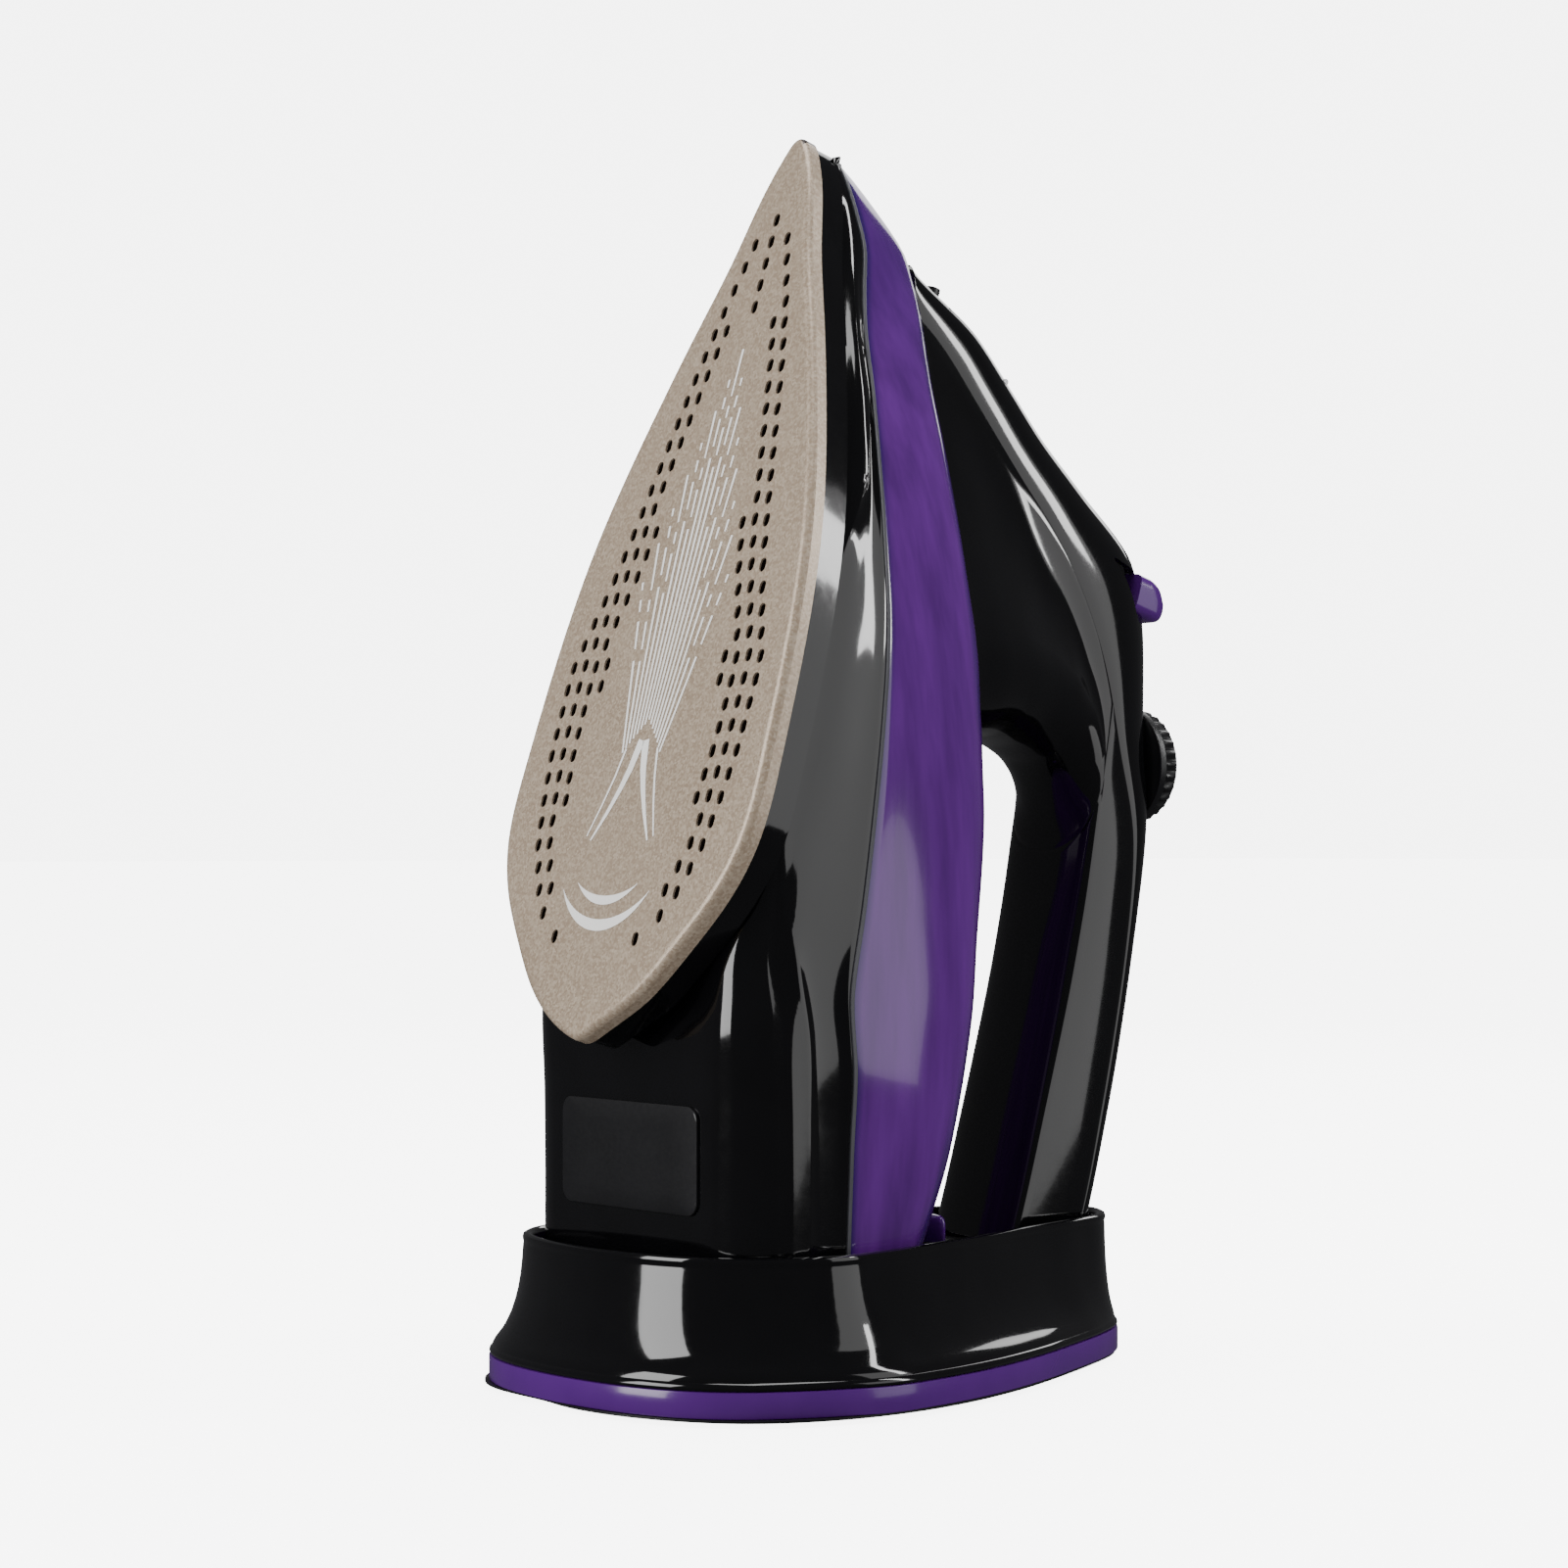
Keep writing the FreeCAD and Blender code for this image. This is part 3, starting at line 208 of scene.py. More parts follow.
def skin(name, rows):
    """A grid whose points are put on the given rows of places."""
    start_clean()
    across, along = len(rows[0]), len(rows)
    bpy.ops.mesh.primitive_grid_add(x_subdivisions=across - 1, y_subdivisions=along - 1, size=1)
    piece = made(name)
    flat = [value for row in rows for place in row for value in place]
    piece.data.vertices.foreach_set("co", flat)
    piece.data.update()
    return piece


def facing_out(piece, inside):
    """Turns an open skin so that its faces look away from an inside place."""
    middle = piece.data.polygons[len(piece.data.polygons) // 2]
    if middle.normal.dot(middle.center - inside) < 0:
        edit_all(piece)
        bpy.ops.mesh.flip_normals()
        bpy.ops.object.mode_set(mode="OBJECT")


def shell(piece, inside, wall, edge=0.25):
    """Gives a skin its wall, inwards, and a soft edge."""
    edit_all(piece)
    bpy.ops.mesh.remove_doubles(threshold=SAME_SPOT)
    bpy.ops.object.mode_set(mode="OBJECT")
    facing_out(piece, inside)
    apply_modifier(piece, "SOLIDIFY", thickness=wall * MM, offset=-1.0, use_rim=True)
    apply_modifier(piece, "BEVEL", width=edge * MM, segments=2, limit_method="ANGLE",
                   angle_limit=BEVEL_FROM)
    smooth_look(piece)
    told(piece)


def told(piece):
    """Prints what was made."""
    print(piece.name, len(piece.data.polygons), "faces")


def level_cut(piece, up):
    """Cuts away what lies below a level plane of the room."""
    edit_all(piece)
    bpy.ops.mesh.bisect(plane_co=(0, 0, up * MM), plane_no=(0, 0, 1), clear_inner=True)
    bpy.ops.object.mode_set(mode="OBJECT")


# %% [markdown]
# ## The body's sections
# The black lower shell and the violet tank share one outline, drawn as sections across the
# iron. Each row holds the half-width and height of the base corner, the flank, the tank's
# foot, its shoulder, the crown corner and the crown.

# %% Body sections
BODY = [
    # y, base x z, corner radius, flank x z, foot x z, shoulder x z, crown corner x z, crown z
    (-62, 44.2, 37.3, 13.0, 44.6, 53, 43, 66, 36, 84, 22, 94.5, 96.5),
    (-30, 44.2, 27.4, 13.0, 44.7, 43, 44, 59.5, 38, 84, 22, 95, 97),
    (-8, 44.2, 20.6, 12.5, 44.8, 36, 45, 53, 40, 84, 22, 95.5, 97.5),
    (12, 44.0, 14.4, 11.0, 45, 30, 46, 46, 41, 82, 22, 95.8, 97.5),
    (28, 42.2, 11.7, 8.0, 45.6, 26, 46, 42, 41, 80, 22, 94.5, 96.5),
    (50, 43.8, 11.7, 2.0, 46.6, 23, 45.6, 39, 40, 76, 22, 91, 93),
    (75, 43.8, 11.7, 1.2, 46.6, 22, 44.6, 35.8, 38, 72, 22, 86.5, 88.5),
    (95, 42.2, 11.7, 1.0, 45, 21, 43, 33.3, 35, 68, 22, 80, 82),
    (110, 39.8, 11.7, 1.0, 42.6, 20, 41, 30.8, 32, 66.5, 18, 71, 72),
    (135, 34.6, 11.7, 1.0, 37.4, 18, 36.2, 26, 28, 58.1, 15, 60, 60.5),
    (160, 27.6, 11.7, 0.9, 30.2, 16, 28.8, 21.3, 22, 49.3, 12, 51, 51.5),
    (180, 19.2, 11.7, 0.8, 21.2, 15.5, 20.2, 19, 15.5, 43.2, 8, 44.6, 45),
    (195, 12.6, 11.7, 0.7, 14, 16, 13.2, 20.5, 9.5, 40.5, 5, 42, 42.2),
    (208, 8.0, 11.7, 0.6, 8.8, 16, 8, 23, 4.6, 36, 2.4, 38.5, 39),
    (219, 4.4, 11.7, 0.3, 4.0, 14, 3.4, 17, 2.2, 21, 1, 22.8, 23),
    (223.4, 1.6, 11.7, 0.1, 1.4, 12.1, 1.2, 12.6, 0.9, 13.2, 0.5, 13.6, 13.8)]
TANK_FOOT = [(-70, 71.5), (-30, 59.5), (-10, 53.5), (6, 48.9), (25, 42), (43, 40), (66, 37),
             (86, 34.3), (109, 31), (127, 27), (148, 23), (165, 20.8), (182, 19.6), (200, 20.6),
             (212, 17.5), (224, 13.2)]


def body_section(y):
    """The half section at one distance along the iron: side line, top line."""
    bx, bz, radius, fx, fz, tx, tz, sx, sz, cx, cz, top = smooth_row(BODY, y)
    side = flowing([(bx, bz + radius), (fx, fz), (tx, tz), (sx, sz), (cx, cz)], 60)
    crown = evenly([(cx, cz), (cx * 0.6, cz + (top - cz) * 0.7), (0, top)], 8)
    return side, crown


def split_at(line, z):
    """Splits a rising line of points where it passes a height."""
    for i in range(1, len(line)):
        if line[i][1] >= z:
            (x0, z0), (x1, z1) = line[i - 1], line[i]
            share = (z - z0) / (z1 - z0) if z1 > z0 else 0.0
            middle = (x0 + share * (x1 - x0), z)
            return line[:i] + [middle], [middle] + line[i:]
    return line, line[-1:]


def stations(low, high, pitch):
    """Evenly spaced places from low to high, as near to the pitch as fits."""
    count = round((high - low) / pitch)
    return [low + (high - low) * step / count for step in range(count + 1)]


BODY_STATIONS = stations(BODY[0][0], BODY[-1][0], 2.4)
print(len(BODY_STATIONS), "sections along the body")

# %% [markdown]
# ## Lower shell
# A glossy black moulding between the soleplate's skirt and the tank. A long hollow facet is
# pressed into each side, so the light breaks along its edge. It is skinned from side to side
# round the underside, cut level where it sinks into the dock, and given a wall.

# %% Lower shell and trim
SHELL_WALL, TRIM_WALL, TANK_WALL, COVER_WALL = 1.6, 1.2, 2.0, 1.8
SEAM = 0.3
TRIM_TALL, TRIM_PROUD, TRIM_OVERLAP = 1.4, 0.25, 0.1
# Height along the side at which the hollow facet starts, and its depth, from heel to tip.
FACET_EDGE = [(-62, 56), (-30, 46.5), (-8, 39.5), (12, 32.5), (26, 25), (44, 15.5), (60, 13.0),
              (99, 12.8), (112, 13.4), (127, 15.7), (143, 18.0), (164, 18.6), (183, 17.2),
              (224, 12.5)]
FACET_DEEP = [(-62, 0.9), (0, 1.2), (40, 1.6), (120, 1.5), (165, 0.7), (186, 0.0), (224, 0.0)]
FLOOR_STEPS, CORNER_STEPS, LOW_STEPS, FACET_STEPS = 8, 8, 8, 16
HEEL_TOP = 31.2                     # room height of the heel base's top face
BODY_INSIDE = iron_place(0, 60, 50)


def shell_half(y):
    """Half of the lower shell's section: floor, rounded corner, lower flank and hollow facet."""
    base_x, base_z, radius = smooth_row(BODY, y)[:3]
    foot = smooth_row(TANK_FOOT, y)[0] - TRIM_TALL - SEAM
    flank = split_at(body_section(y)[0], foot)[0]
    edge = min(max(smooth_row(FACET_EDGE, y)[0], flank[0][1] + 0.4), foot - 0.6)
    below, above_edge = split_at(flank, edge)
    deep = smooth_row(FACET_DEEP, y)[0]
    floor = [((base_x - radius) * step / FLOOR_STEPS, base_z) for step in range(FLOOR_STEPS)]
    corner = []
    for step in range(CORNER_STEPS):
        turn = math.pi / 2 * step / CORNER_STEPS
        corner.append((base_x - radius + radius * math.sin(turn),
                       base_z + radius * (1 - math.cos(turn))))
    facet = []
    for step, (x, z) in enumerate(evenly(above_edge, FACET_STEPS + 1)):
        share = step / FACET_STEPS
        facet.append((x - deep * (1 - (1 - 2 * share) ** 2), z))
    return floor + corner + evenly(below, LOW_STEPS + 1)[:-1] + facet


def shell_rows():
    """The shell's sections from heel to tip, each from one seam round to the other."""
    rows = []
    for y in BODY_STATIONS:
        half = shell_half(y)
        whole = [(-x, z) for x, z in reversed(half[1:])] + half
        rows.append([iron_place(x, y, z) for x, z in whole])
    return rows


lower_shell = skin("lower_shell_moulding", shell_rows())
level_cut(lower_shell, HEEL_TOP)
shell(lower_shell, BODY_INSIDE, SHELL_WALL)


def foot_height(y):
    """Height of the tank's foot at one distance along the iron."""
    return smooth_row(TANK_FOOT, y)[0]


def trim_rows(side_sign):
    """The thin band between shell and tank on one side, standing a little proud."""
    rows = []
    for y in BODY_STATIONS:
        top = foot_height(y) - TRIM_OVERLAP
        upper = split_at(body_section(y)[0], top)[0]
        line = evenly(split_at(upper, foot_height(y) - TRIM_TALL)[1], 5)
        rows.append([iron_place(side_sign * (x + TRIM_PROUD), y, z) for x, z in line])
    return rows


trim_halves = []
for side_sign in (-1, 1):
    half = skin("trim_side", trim_rows(side_sign))
    level_cut(half, HEEL_TOP)
    shell(half, BODY_INSIDE, TRIM_WALL, 0.2)
    trim_halves.append(half)


def joined(name, parts):
    """Makes one named piece of several."""
    start_clean()
    for part in parts:
        part.select_set(True)
    bpy.context.view_layer.objects.active = parts[0]
    bpy.ops.object.join()
    return made(name)


tank_trim = joined("tank_trim_line", trim_halves)

# %% [markdown]
# ## Water tank
# Clear violet plastic, moulded in one piece from foot to crown. It is skinned right over the
# top, because the finger gap shows its deck.

# %% Water tank
def tank_rows():
    """The tank's sections from heel to tip, each from one foot over the crown to the other."""
    rows = []
    for y in BODY_STATIONS:
        side, crown = body_section(y)
        flank = evenly(split_at(side, foot_height(y))[1], 26)
        half = flank + crown[1:]
        whole = half + [(-x, z) for x, z in reversed(half[:-1])]
        rows.append([iron_place(x, y, z) for x, z in whole])
    return rows


tank = skin("water_tank_moulding", tank_rows())
level_cut(tank, HEEL_TOP)
shell(tank, BODY_INSIDE, TANK_WALL, 0.4)

# %% [markdown]
# ## Pillar, handle and cap
# The front pillar rises from the tank, bends over the finger gap and runs on as the handle
# down into the dock. Each ring round it is given by four places on the iron ruler: the inner
# face, a rear crease, the cap's seam and the outer face, with half-widths at the creases.

# %% Rings of the handle loop
LOOP = [
    # ring, inner y z, crease y z x, seam y z x, outer y z, hollow of the side
    (0, 92, 73, 116, 64.0, 31.0, 196.5, 42.5, 6.0, 208.5, 42, 0.2),
    (1, 97, 80, 118, 70.5, 29.0, 193, 49, 7.2, 203.9, 55.5, 0.8),
    (2, 101.5, 88, 120.6, 79, 27.0, 186, 58, 8.4, 198.9, 65.6, 1.6),
    (3, 104.5, 97, 122.8, 90, 24.0, 176.7, 70.5, 9.6, 190.8, 78.4, 2.0),
    (4, 105, 104, 123.2, 100, 21.0, 168, 82.5, 10.6, 182.7, 91.0, 2.0),
    (5, 103.5, 112, 122, 110, 18.4, 158, 96.5, 12.0, 174.2, 107.5, 1.6),
    (6, 98, 120, 117, 119.5, 16.2, 145, 110, 13.4, 163.0, 129.0, 0.8),
    (7, 90, 124.6, 107, 126, 15.8, 131, 120.4, 14.4, 148, 136.8, 0.2),
    (8, 77, 126.4, 93, 128.2, 15.8, 113, 130.4, 15.0, 125, 142.8, -0.2),
    (9, 61, 127.4, 72, 131, 15.7, 91, 142.2, 15.0, 99, 150.6, -0.4),
    (10, 43, 128.4, 49, 132.6, 15.6, 64, 147.9, 14.8, 69, 154.4, -0.4),
    (11, 18, 129.4, 20, 133.2, 15.6, 26, 151.6, 14.8, 28, 158.2, -0.4),
    (12, -5, 130, -4, 133.5, 15.6, -2, 153.0, 14.8, -2, 159.0, -0.4),
    (13, -30, 130, -30, 133.5, 15.6, -30, 153, 14.8, -30, 158.4, -0.4),
    (14, -62, 130, -62, 133.5, 15.6, -62, 152.8, 14.8, -62, 157.4, -0.4)]
TANK_DECK = [(90, 78), (97, 71), (107, 67.6), (121, 63), (135, 58.1), (150, 53), (165, 47.3),
             (179, 43.3), (210, 40.5)]
RINGS_PER_ROW = 8
INNER_STEPS, SIDE_STEPS, CREST_STEPS = 12, 12, 12
INNER_BLUNT, CREST_BLUNT, CREST_RISE = 0.85, 0.75, 0.9    # 1 is an ellipse, less is squarer
DECK_SINK = 0.6                     # the pillar's foot dips this far into the tank's deck


def half_ring(place):
    """Half of one ring, from the middle of the inner face round to the middle of the crest."""
    iy, iz, cy, cz, cx, sy, sz, sx, oy, oz, hollow = smooth_row(LOOP, place)
    points = []
    for step in range(INNER_STEPS + 1):
        turn = math.pi / 2 * step / INNER_STEPS
        share = 1 - math.cos(turn) ** INNER_BLUNT
        points.append((cx * math.sin(turn) ** INNER_BLUNT,
                       iy + share * (cy - iy), iz + share * (cz - iz)))
    for step in range(1, SIDE_STEPS + 1):
        share = step / SIDE_STEPS
        points.append((cx + share * (sx - cx) - hollow * math.sin(math.pi * share),
                       cy + share * (sy - cy), cz + share * (sz - cz)))
    for step in range(1, CREST_STEPS + 1):
        turn = math.pi / 2 * step / CREST_STEPS
        share = math.sin(turn) ** CREST_RISE
        points.append((sx * math.cos(turn) ** CREST_BLUNT,
                       sy + share * (oy - sy), sz + share * (oz - sz)))
    sink = max(0.0, 1 - place / 2)
    lowered = []
    for x, y, z in points:
        deck = smooth_row(TANK_DECK, y)[0]
        lowered.append((x, y, z + sink * sink * (deck - DECK_SINK - z)))
    return lowered


LOOP_END = LOOP[-1][0]
COVER_END = 7.5                     # the pillar cover ends and the grip starts at this ring
LOOP_PLACES = stations(0, LOOP_END, 1 / RINGS_PER_ROW)
SEAM_COLUMN = INNER_STEPS + SIDE_STEPS


def loop_rows(first, last, crest):
    """Rows of part of the loop: its crest above the seams, or its inner side below them."""
    rows = []
    for place in LOOP_PLACES:
        if not first <= place <= last:
            continue
        half = half_ring(place)
        if crest:
            half = half[SEAM_COLUMN:]
            line = half + [(-x, y, z) for x, y, z in reversed(half[:-1])]
        else:
            half = half[:SEAM_COLUMN + 1]
            line = [(-x, y, z) for x, y, z in reversed(half[1:])] + half
        rows.append([iron_place(*spot) for spot in line])
    return rows


def inside_of_ring(place):
    """The middle of one ring."""
    half = half_ring(place)
    return iron_place(0, (half[0][1] + half[-1][1]) / 2, (half[0][2] + half[-1][2]) / 2)


def loop_shell(name, first, last, crest, inside_ring):
    """One moulding of the loop, cut where it meets the heel base."""
    piece = skin(name, loop_rows(first, last, crest))
    if last == LOOP_END:
        level_cut(piece, HEEL_TOP)
    shell(piece, inside_of_ring(inside_ring), COVER_WALL, 0.3)
    return piece


pillar_cover = loop_shell("pillar_cover", 0, COVER_END, False, COVER_END / 2)
grip = loop_shell("handle_grip_moulding", COVER_END, LOOP_END, False, 11)
cap = loop_shell("handle_cap_moulding", 0, LOOP_END, True, 7)

# %% [markdown]
# ## Camera
# The camera stands level at about half the iron's height, well to the right of the dock's front,
# with a long lens. The frame is shifted, not tilted, so upright lines stay upright.

# %% Camera
CAMERA_PLACE = (0.7042, -0.5680, 0.1285)
CAMERA_TURN = 52.0
camera_data = bpy.data.cameras.new("camera")
camera_data.lens = 85.0
camera_data.sensor_width = 36.0
camera_data.shift_x, camera_data.shift_y = -0.01655, 0.0403
camera = bpy.data.objects.new("camera", camera_data)
camera.location = CAMERA_PLACE
camera.rotation_euler = (math.radians(90), 0, math.radians(CAMERA_TURN))
bpy.context.scene.collection.objects.link(camera)
bpy.context.scene.camera = camera

# %% [markdown]
# ## Dock collar and band
# The collar stands almost upright, flares at its foot and ends in a rolled bead; the violet
# band lies beneath it. Both follow a rounded plan that is blunt at the front and narrows to the
# tail. The plan is given as shares of width and length, and each ring is put on a smooth curve.

# %% Dock plan
RIM_PLAN = [(0, 0), (0.53, 0.026), (0.84, 0.096), (1, 0.211), (0.96, 0.313), (0.85, 0.441),
            (0.71, 0.582), (0.56, 0.722), (0.43, 0.85), (0.29, 0.945), (0, 1)]
BASE_PLAN = [(0, 0), (0.5, 0.026), (0.82, 0.108), (1, 0.27), (0.98, 0.388), (0.886, 0.518),
             (0.74, 0.647), (0.565, 0.77), (0.4, 0.876), (0.22, 0.962), (0, 1)]
RIM_SIZE = (52.0, -71.0, 158.0)         # half-width, front, length
BASE_SIZE = (61.0, -79.0, 170.0)
AROUND = 168


def closed_flow(points, count):
    """Evenly spaced points on a smooth closed curve through the given points."""
    fine = []
    total = len(points)
    for i in range(total):
        four = [points[(i + k - 1) % total] for k in range(4)]
        fine += [spline_place(four, step / 12) for step in range(12)]
    fine.append(fine[0])
    return evenly(fine, count + 1)[:-1]


def plan_ring(share, inset=0.0):
    """The dock's plan between its base (0) and its rim (1), drawn in by an inset."""
    corners = []
    for (rx, ry), (bx, by) in zip(RIM_PLAN, BASE_PLAN):
        x = share * rx * RIM_SIZE[0] + (1 - share) * bx * BASE_SIZE[0]
        y = (share * (RIM_SIZE[1] + ry * RIM_SIZE[2])
             + (1 - share) * (BASE_SIZE[1] + by * BASE_SIZE[2]))
        corners.append((x, y))
    corners = corners + [(-x, y) for x, y in reversed(corners[1:-1])]
    ring = closed_flow(corners, AROUND)
    moved = []
    for i, (x, y) in enumerate(ring):
        ax = ring[(i + 1) % AROUND][0] - ring[i - 1][0]
        ay = ring[(i + 1) % AROUND][1] - ring[i - 1][1]
        length = math.hypot(ax, ay)
        moved.append((x - ay / length * inset, y + ax / length * inset))
    return moved


def ring_skin(name, profile):
    """A closed skin from a list of (share of rim plan, height, inset)."""
    rows = []
    for share, up, inset in profile:
        ring = [dock_place(x, y, up) for x, y in plan_ring(share, inset)]
        rows.append(ring + ring[:1])
    piece = skin(name, rows)
    tidy_faces(piece)
    smooth_look(piece, 40)
    told(piece)
    return piece


# %% Collar and band
BAND_LOW, BAND_TOP, RIM_TOP = 1.6, 7.8, 36.5
COLLAR_TALL = RIM_TOP - BAND_TOP
BEAD_TOP = 1.9                      # the rolled bead over the band ends here, above the band
# The flare: share of the rim's plan, and share of the collar's height.
FLARE = [(0.02, 0.02), (0.1, 0.06), (0.2, 0.095), (0.32, 0.14), (0.45, 0.2), (0.6, 0.29),
         (0.72, 0.39), (0.82, 0.5), (0.9, 0.63), (0.95, 0.76), (0.985, 0.9)]
collar_profile = [(0, BAND_TOP + up, inset) for up, inset in (
    (0, 2.4), (0, 0.9), (0.15, 0.3), (0.7, 0.05), (1.4, 0.25))]
collar_profile += [(0.01, BAND_TOP + 1.8, 0.7)]
collar_profile += [(share, BAND_TOP + BEAD_TOP + rise * (COLLAR_TALL - BEAD_TOP),
                    0.75 * (1 - share)) for share, rise in FLARE]
collar_profile += [(0.99, RIM_TOP - 2.2, 0.1)]
collar_profile += [(1, RIM_TOP - down, inset) for down, inset in (
    (1.6, -0.15), (0.9, -0.25), (0.35, -0.05), (0.05, 0.5), (0, 1.1), (0.1, 1.8), (0.5, 2.2),
    (1.4, 2.4), (12.5, 2.4), (24.5, 2.4))]
collar_profile += [(0.3, 9.4, 2.4), (0, BAND_TOP, 2.4)]
collar = ring_skin("dock_collar_moulding", collar_profile)
band_profile = [(0, BAND_LOW + up, inset) for up, inset in (
    (0, 3.0), (0, 0.5), (0.15, 0.12), (0.5, 0))]
band_profile += [(0, BAND_TOP - down, inset) for down, inset in (
    (0.6, 0), (0.25, 0.12), (0.1, 0.5), (0.1, 3.0))]
band_profile += band_profile[:1]
band = ring_skin("dock_band_moulding", band_profile)

# %% [markdown]
# ## Controls and heel plate
# The dial is turned with a thumb: a drum with grip ribs. The two thumb buttons are crowned so
# that a thumb finds them. The latch is a two-lobed turn in the finger gap. The heel plate is a
# thin cover with rounded corners on the neck's front. Each is built up from closed rings.


# %% Rings about an axis
def lathe(name, profile, count, place, spread):
    """A closed skin of rings; spread(turn, radius, depth) gives a ring point."""
    rows = []
    for radius, depth in profile:
        ring = [place(*spread(2 * math.pi * step / count, radius, depth)) for step in range(count)]
        rows.append(ring + ring[:1])
    piece = skin(name, rows)
    tidy_faces(piece, 0.000005)
    return piece


DIAL_UP, DIAL_SEAT = 149.5, 97.2    # dock ruler: height of its axis, y of its seat
DIAL_RIBS, RIB_PROUD = 30, 0.45
RIBS_FROM, RIBS_TO = 3.2, 7.5


def dial_spread(turn, radius, depth):
    """A drum with ribs over the middle of its rim."""
    on_rim = RIBS_FROM < depth < RIBS_TO and radius > 12
    ribbed = radius + (RIB_PROUD * math.cos(turn * DIAL_RIBS) if on_rim else 0.0)
    x, z = ribbed * math.cos(turn), ribbed * math.sin(turn)
    return x, DIAL_SEAT + depth, DIAL_UP + z


dial_profile = [  # radius, distance out from the seat
    (0.02, 0.4), (8, 0.4), (15.0, 0.4), (15.4, 0.6), (15.5, 1.0), (15.5, 2.3), (15.2, 2.7),
    (14.6, 3.0), (14.5, 3.5), (14.2, 5.4), (13.9, 7.1), (13.6, 7.7), (13.0, 8.2), (12.2, 8.55),
    (11, 8.65), (6, 8.65), (0.02, 8.65)]
dial = lathe("dial_knob_moulding", dial_profile, 240, dock_place, dial_spread)
smooth_look(dial, 35)

PANEL_HALF, PANEL_TALL, PANEL_MIDDLE, PANEL_ROUND = 27.0, 25.0, 57.0, 3.5
PANEL_BACK = -57.0
# Rings of the plate: share of its outline, distance out from its back.
PANEL_RINGS = [(0.02, 0), (0.6, 0), (1.0, 0), (1.0, 0.5), (0.995, 0.65), (0.98, 0.7),
               (0.6, 0.7), (0.02, 0.7)]


def panel_ring(share, out):
    """One ring of the heel plate: a rectangle with rounded corners, drawn in to its middle."""
    points = []
    for corner in range(4):
        side = 1 if corner in (0, 3) else -1
        rise = 1 if corner in (0, 1) else -1
        for step in range(7):
            turn = math.radians(corner * 90 + step * 15)
            x = side * (PANEL_HALF - PANEL_ROUND) + PANEL_ROUND * math.cos(turn)
            z = rise * (PANEL_TALL / 2 - PANEL_ROUND) + PANEL_ROUND * math.sin(turn)
            points.append(dock_place(x * share, PANEL_BACK - out, PANEL_MIDDLE + z * share))
    return points + points[:1]


heel_plate = skin("heel_plate", [panel_ring(share, out) for share, out in PANEL_RINGS])
edit_all(heel_plate)
bpy.ops.mesh.remove_doubles(threshold=1e-7)
bpy.ops.mesh.select_all(action="DESELECT")
bpy.ops.mesh.select_non_manifold()
bpy.ops.mesh.edge_face_add()
bpy.ops.object.mode_set(mode="OBJECT")
tidy_faces(heel_plate)
smooth_look(heel_plate, 40)
told(heel_plate)

BUTTON_SIDE, BUTTON_PLACE = 6.0, 153.9
BUTTON_HALF, BUTTON_BLUNT = (5.0, 5.3), 0.5
BUTTON_SLOPE, SLOPE_FROM = 0.62, 132
BUTTON_PROFILE = [  # share of the outline, height on the iron ruler
    (0.01, 128.8), (1.0, 128.8), (1.0, 133.5), (1.0, 135.6), (0.985, 136.4), (0.94, 137.5),
    (0.86, 138.5), (0.72, 138.9), (0.5, 139.1), (0.25, 139.2), (0.01, 139.2)]


def button_skin(name, middle):
    """A thumb button: squarish rings that close in a crown, which slopes down to the nose."""
    def spread(turn, share, up):
        cx, cy = math.cos(turn), math.sin(turn)
        x = BUTTON_HALF[0] * share * math.copysign(abs(cx) ** BUTTON_BLUNT, cx)
        y = BUTTON_HALF[1] * share * math.copysign(abs(cy) ** BUTTON_BLUNT, cy)
        sloped = min(1.0, max(0.0, up - SLOPE_FROM) / 4)
        return middle + x, BUTTON_PLACE + y, up - BUTTON_SLOPE * max(0.0, y + 0.5) * sloped

    piece = lathe(name, BUTTON_PROFILE, 48, iron_place, spread)
    smooth_look(piece, 50)
    told(piece)
    return piece


spray_key = button_skin("spray_button_crown", BUTTON_SIDE)
steam_key = button_skin("steam_button_crown", -BUTTON_SIDE)

LATCH_BACK, LATCH_LOW = 31.0, 31.4  # dock ruler: y of its axis, height of its underside


def latch_spread(turn, share, up):
    """Two round lobes joined by a narrow waist."""
    lobe = 4.4 + 4.4 * math.cos(turn) ** 2
    waist = 0.74 + 0.26 * math.cos(2 * turn)
    x = lobe * share * math.cos(turn)
    y = 3.3 * share * math.sin(turn) * waist ** 0.3
    return x, LATCH_BACK + y, up


latch_profile = [(share, LATCH_LOW + up) for share, up in (
    (0.01, 0), (0.94, 0), (1.0, 0.5), (1.0, 4.6), (0.95, 5.8), (0.82, 6.5), (0.5, 6.85),
    (0.01, 6.9))]
latch = lathe("thumb_latch", latch_profile, 64, dock_place, latch_spread)
smooth_look(latch, 50)

# %% [markdown]
# ## Openings in the cap
# The filling door and the thumb buttons need openings, and the door must lie flush. A block
# of the door's size is cut out of the cap, and the same block keeps the door's own piece.


# %% Cutters
def block(name, corners_low, corners_high, place):
    """A box on one of the rulers, used only to cut."""
    start_clean()
    bpy.ops.mesh.primitive_cube_add(size=1)
    piece = made(name)
    for vertex in piece.data.vertices:
        spot = [low if value < 0 else high
                for value, low, high in zip(vertex.co, corners_low, corners_high)]
        vertex.co = place(*spot)
    tidy_faces(piece)
    return piece


def cut(piece, cutter, operation="DIFFERENCE"):
    """Cuts one piece with another, or keeps only what they share."""
    apply_modifier(piece, "BOOLEAN", object=cutter, operation=operation, solver="EXACT")


def dropped(*pieces):
    """Takes the cutters away when they have done their work."""
    for piece in pieces:
        bpy.data.objects.remove(piece)


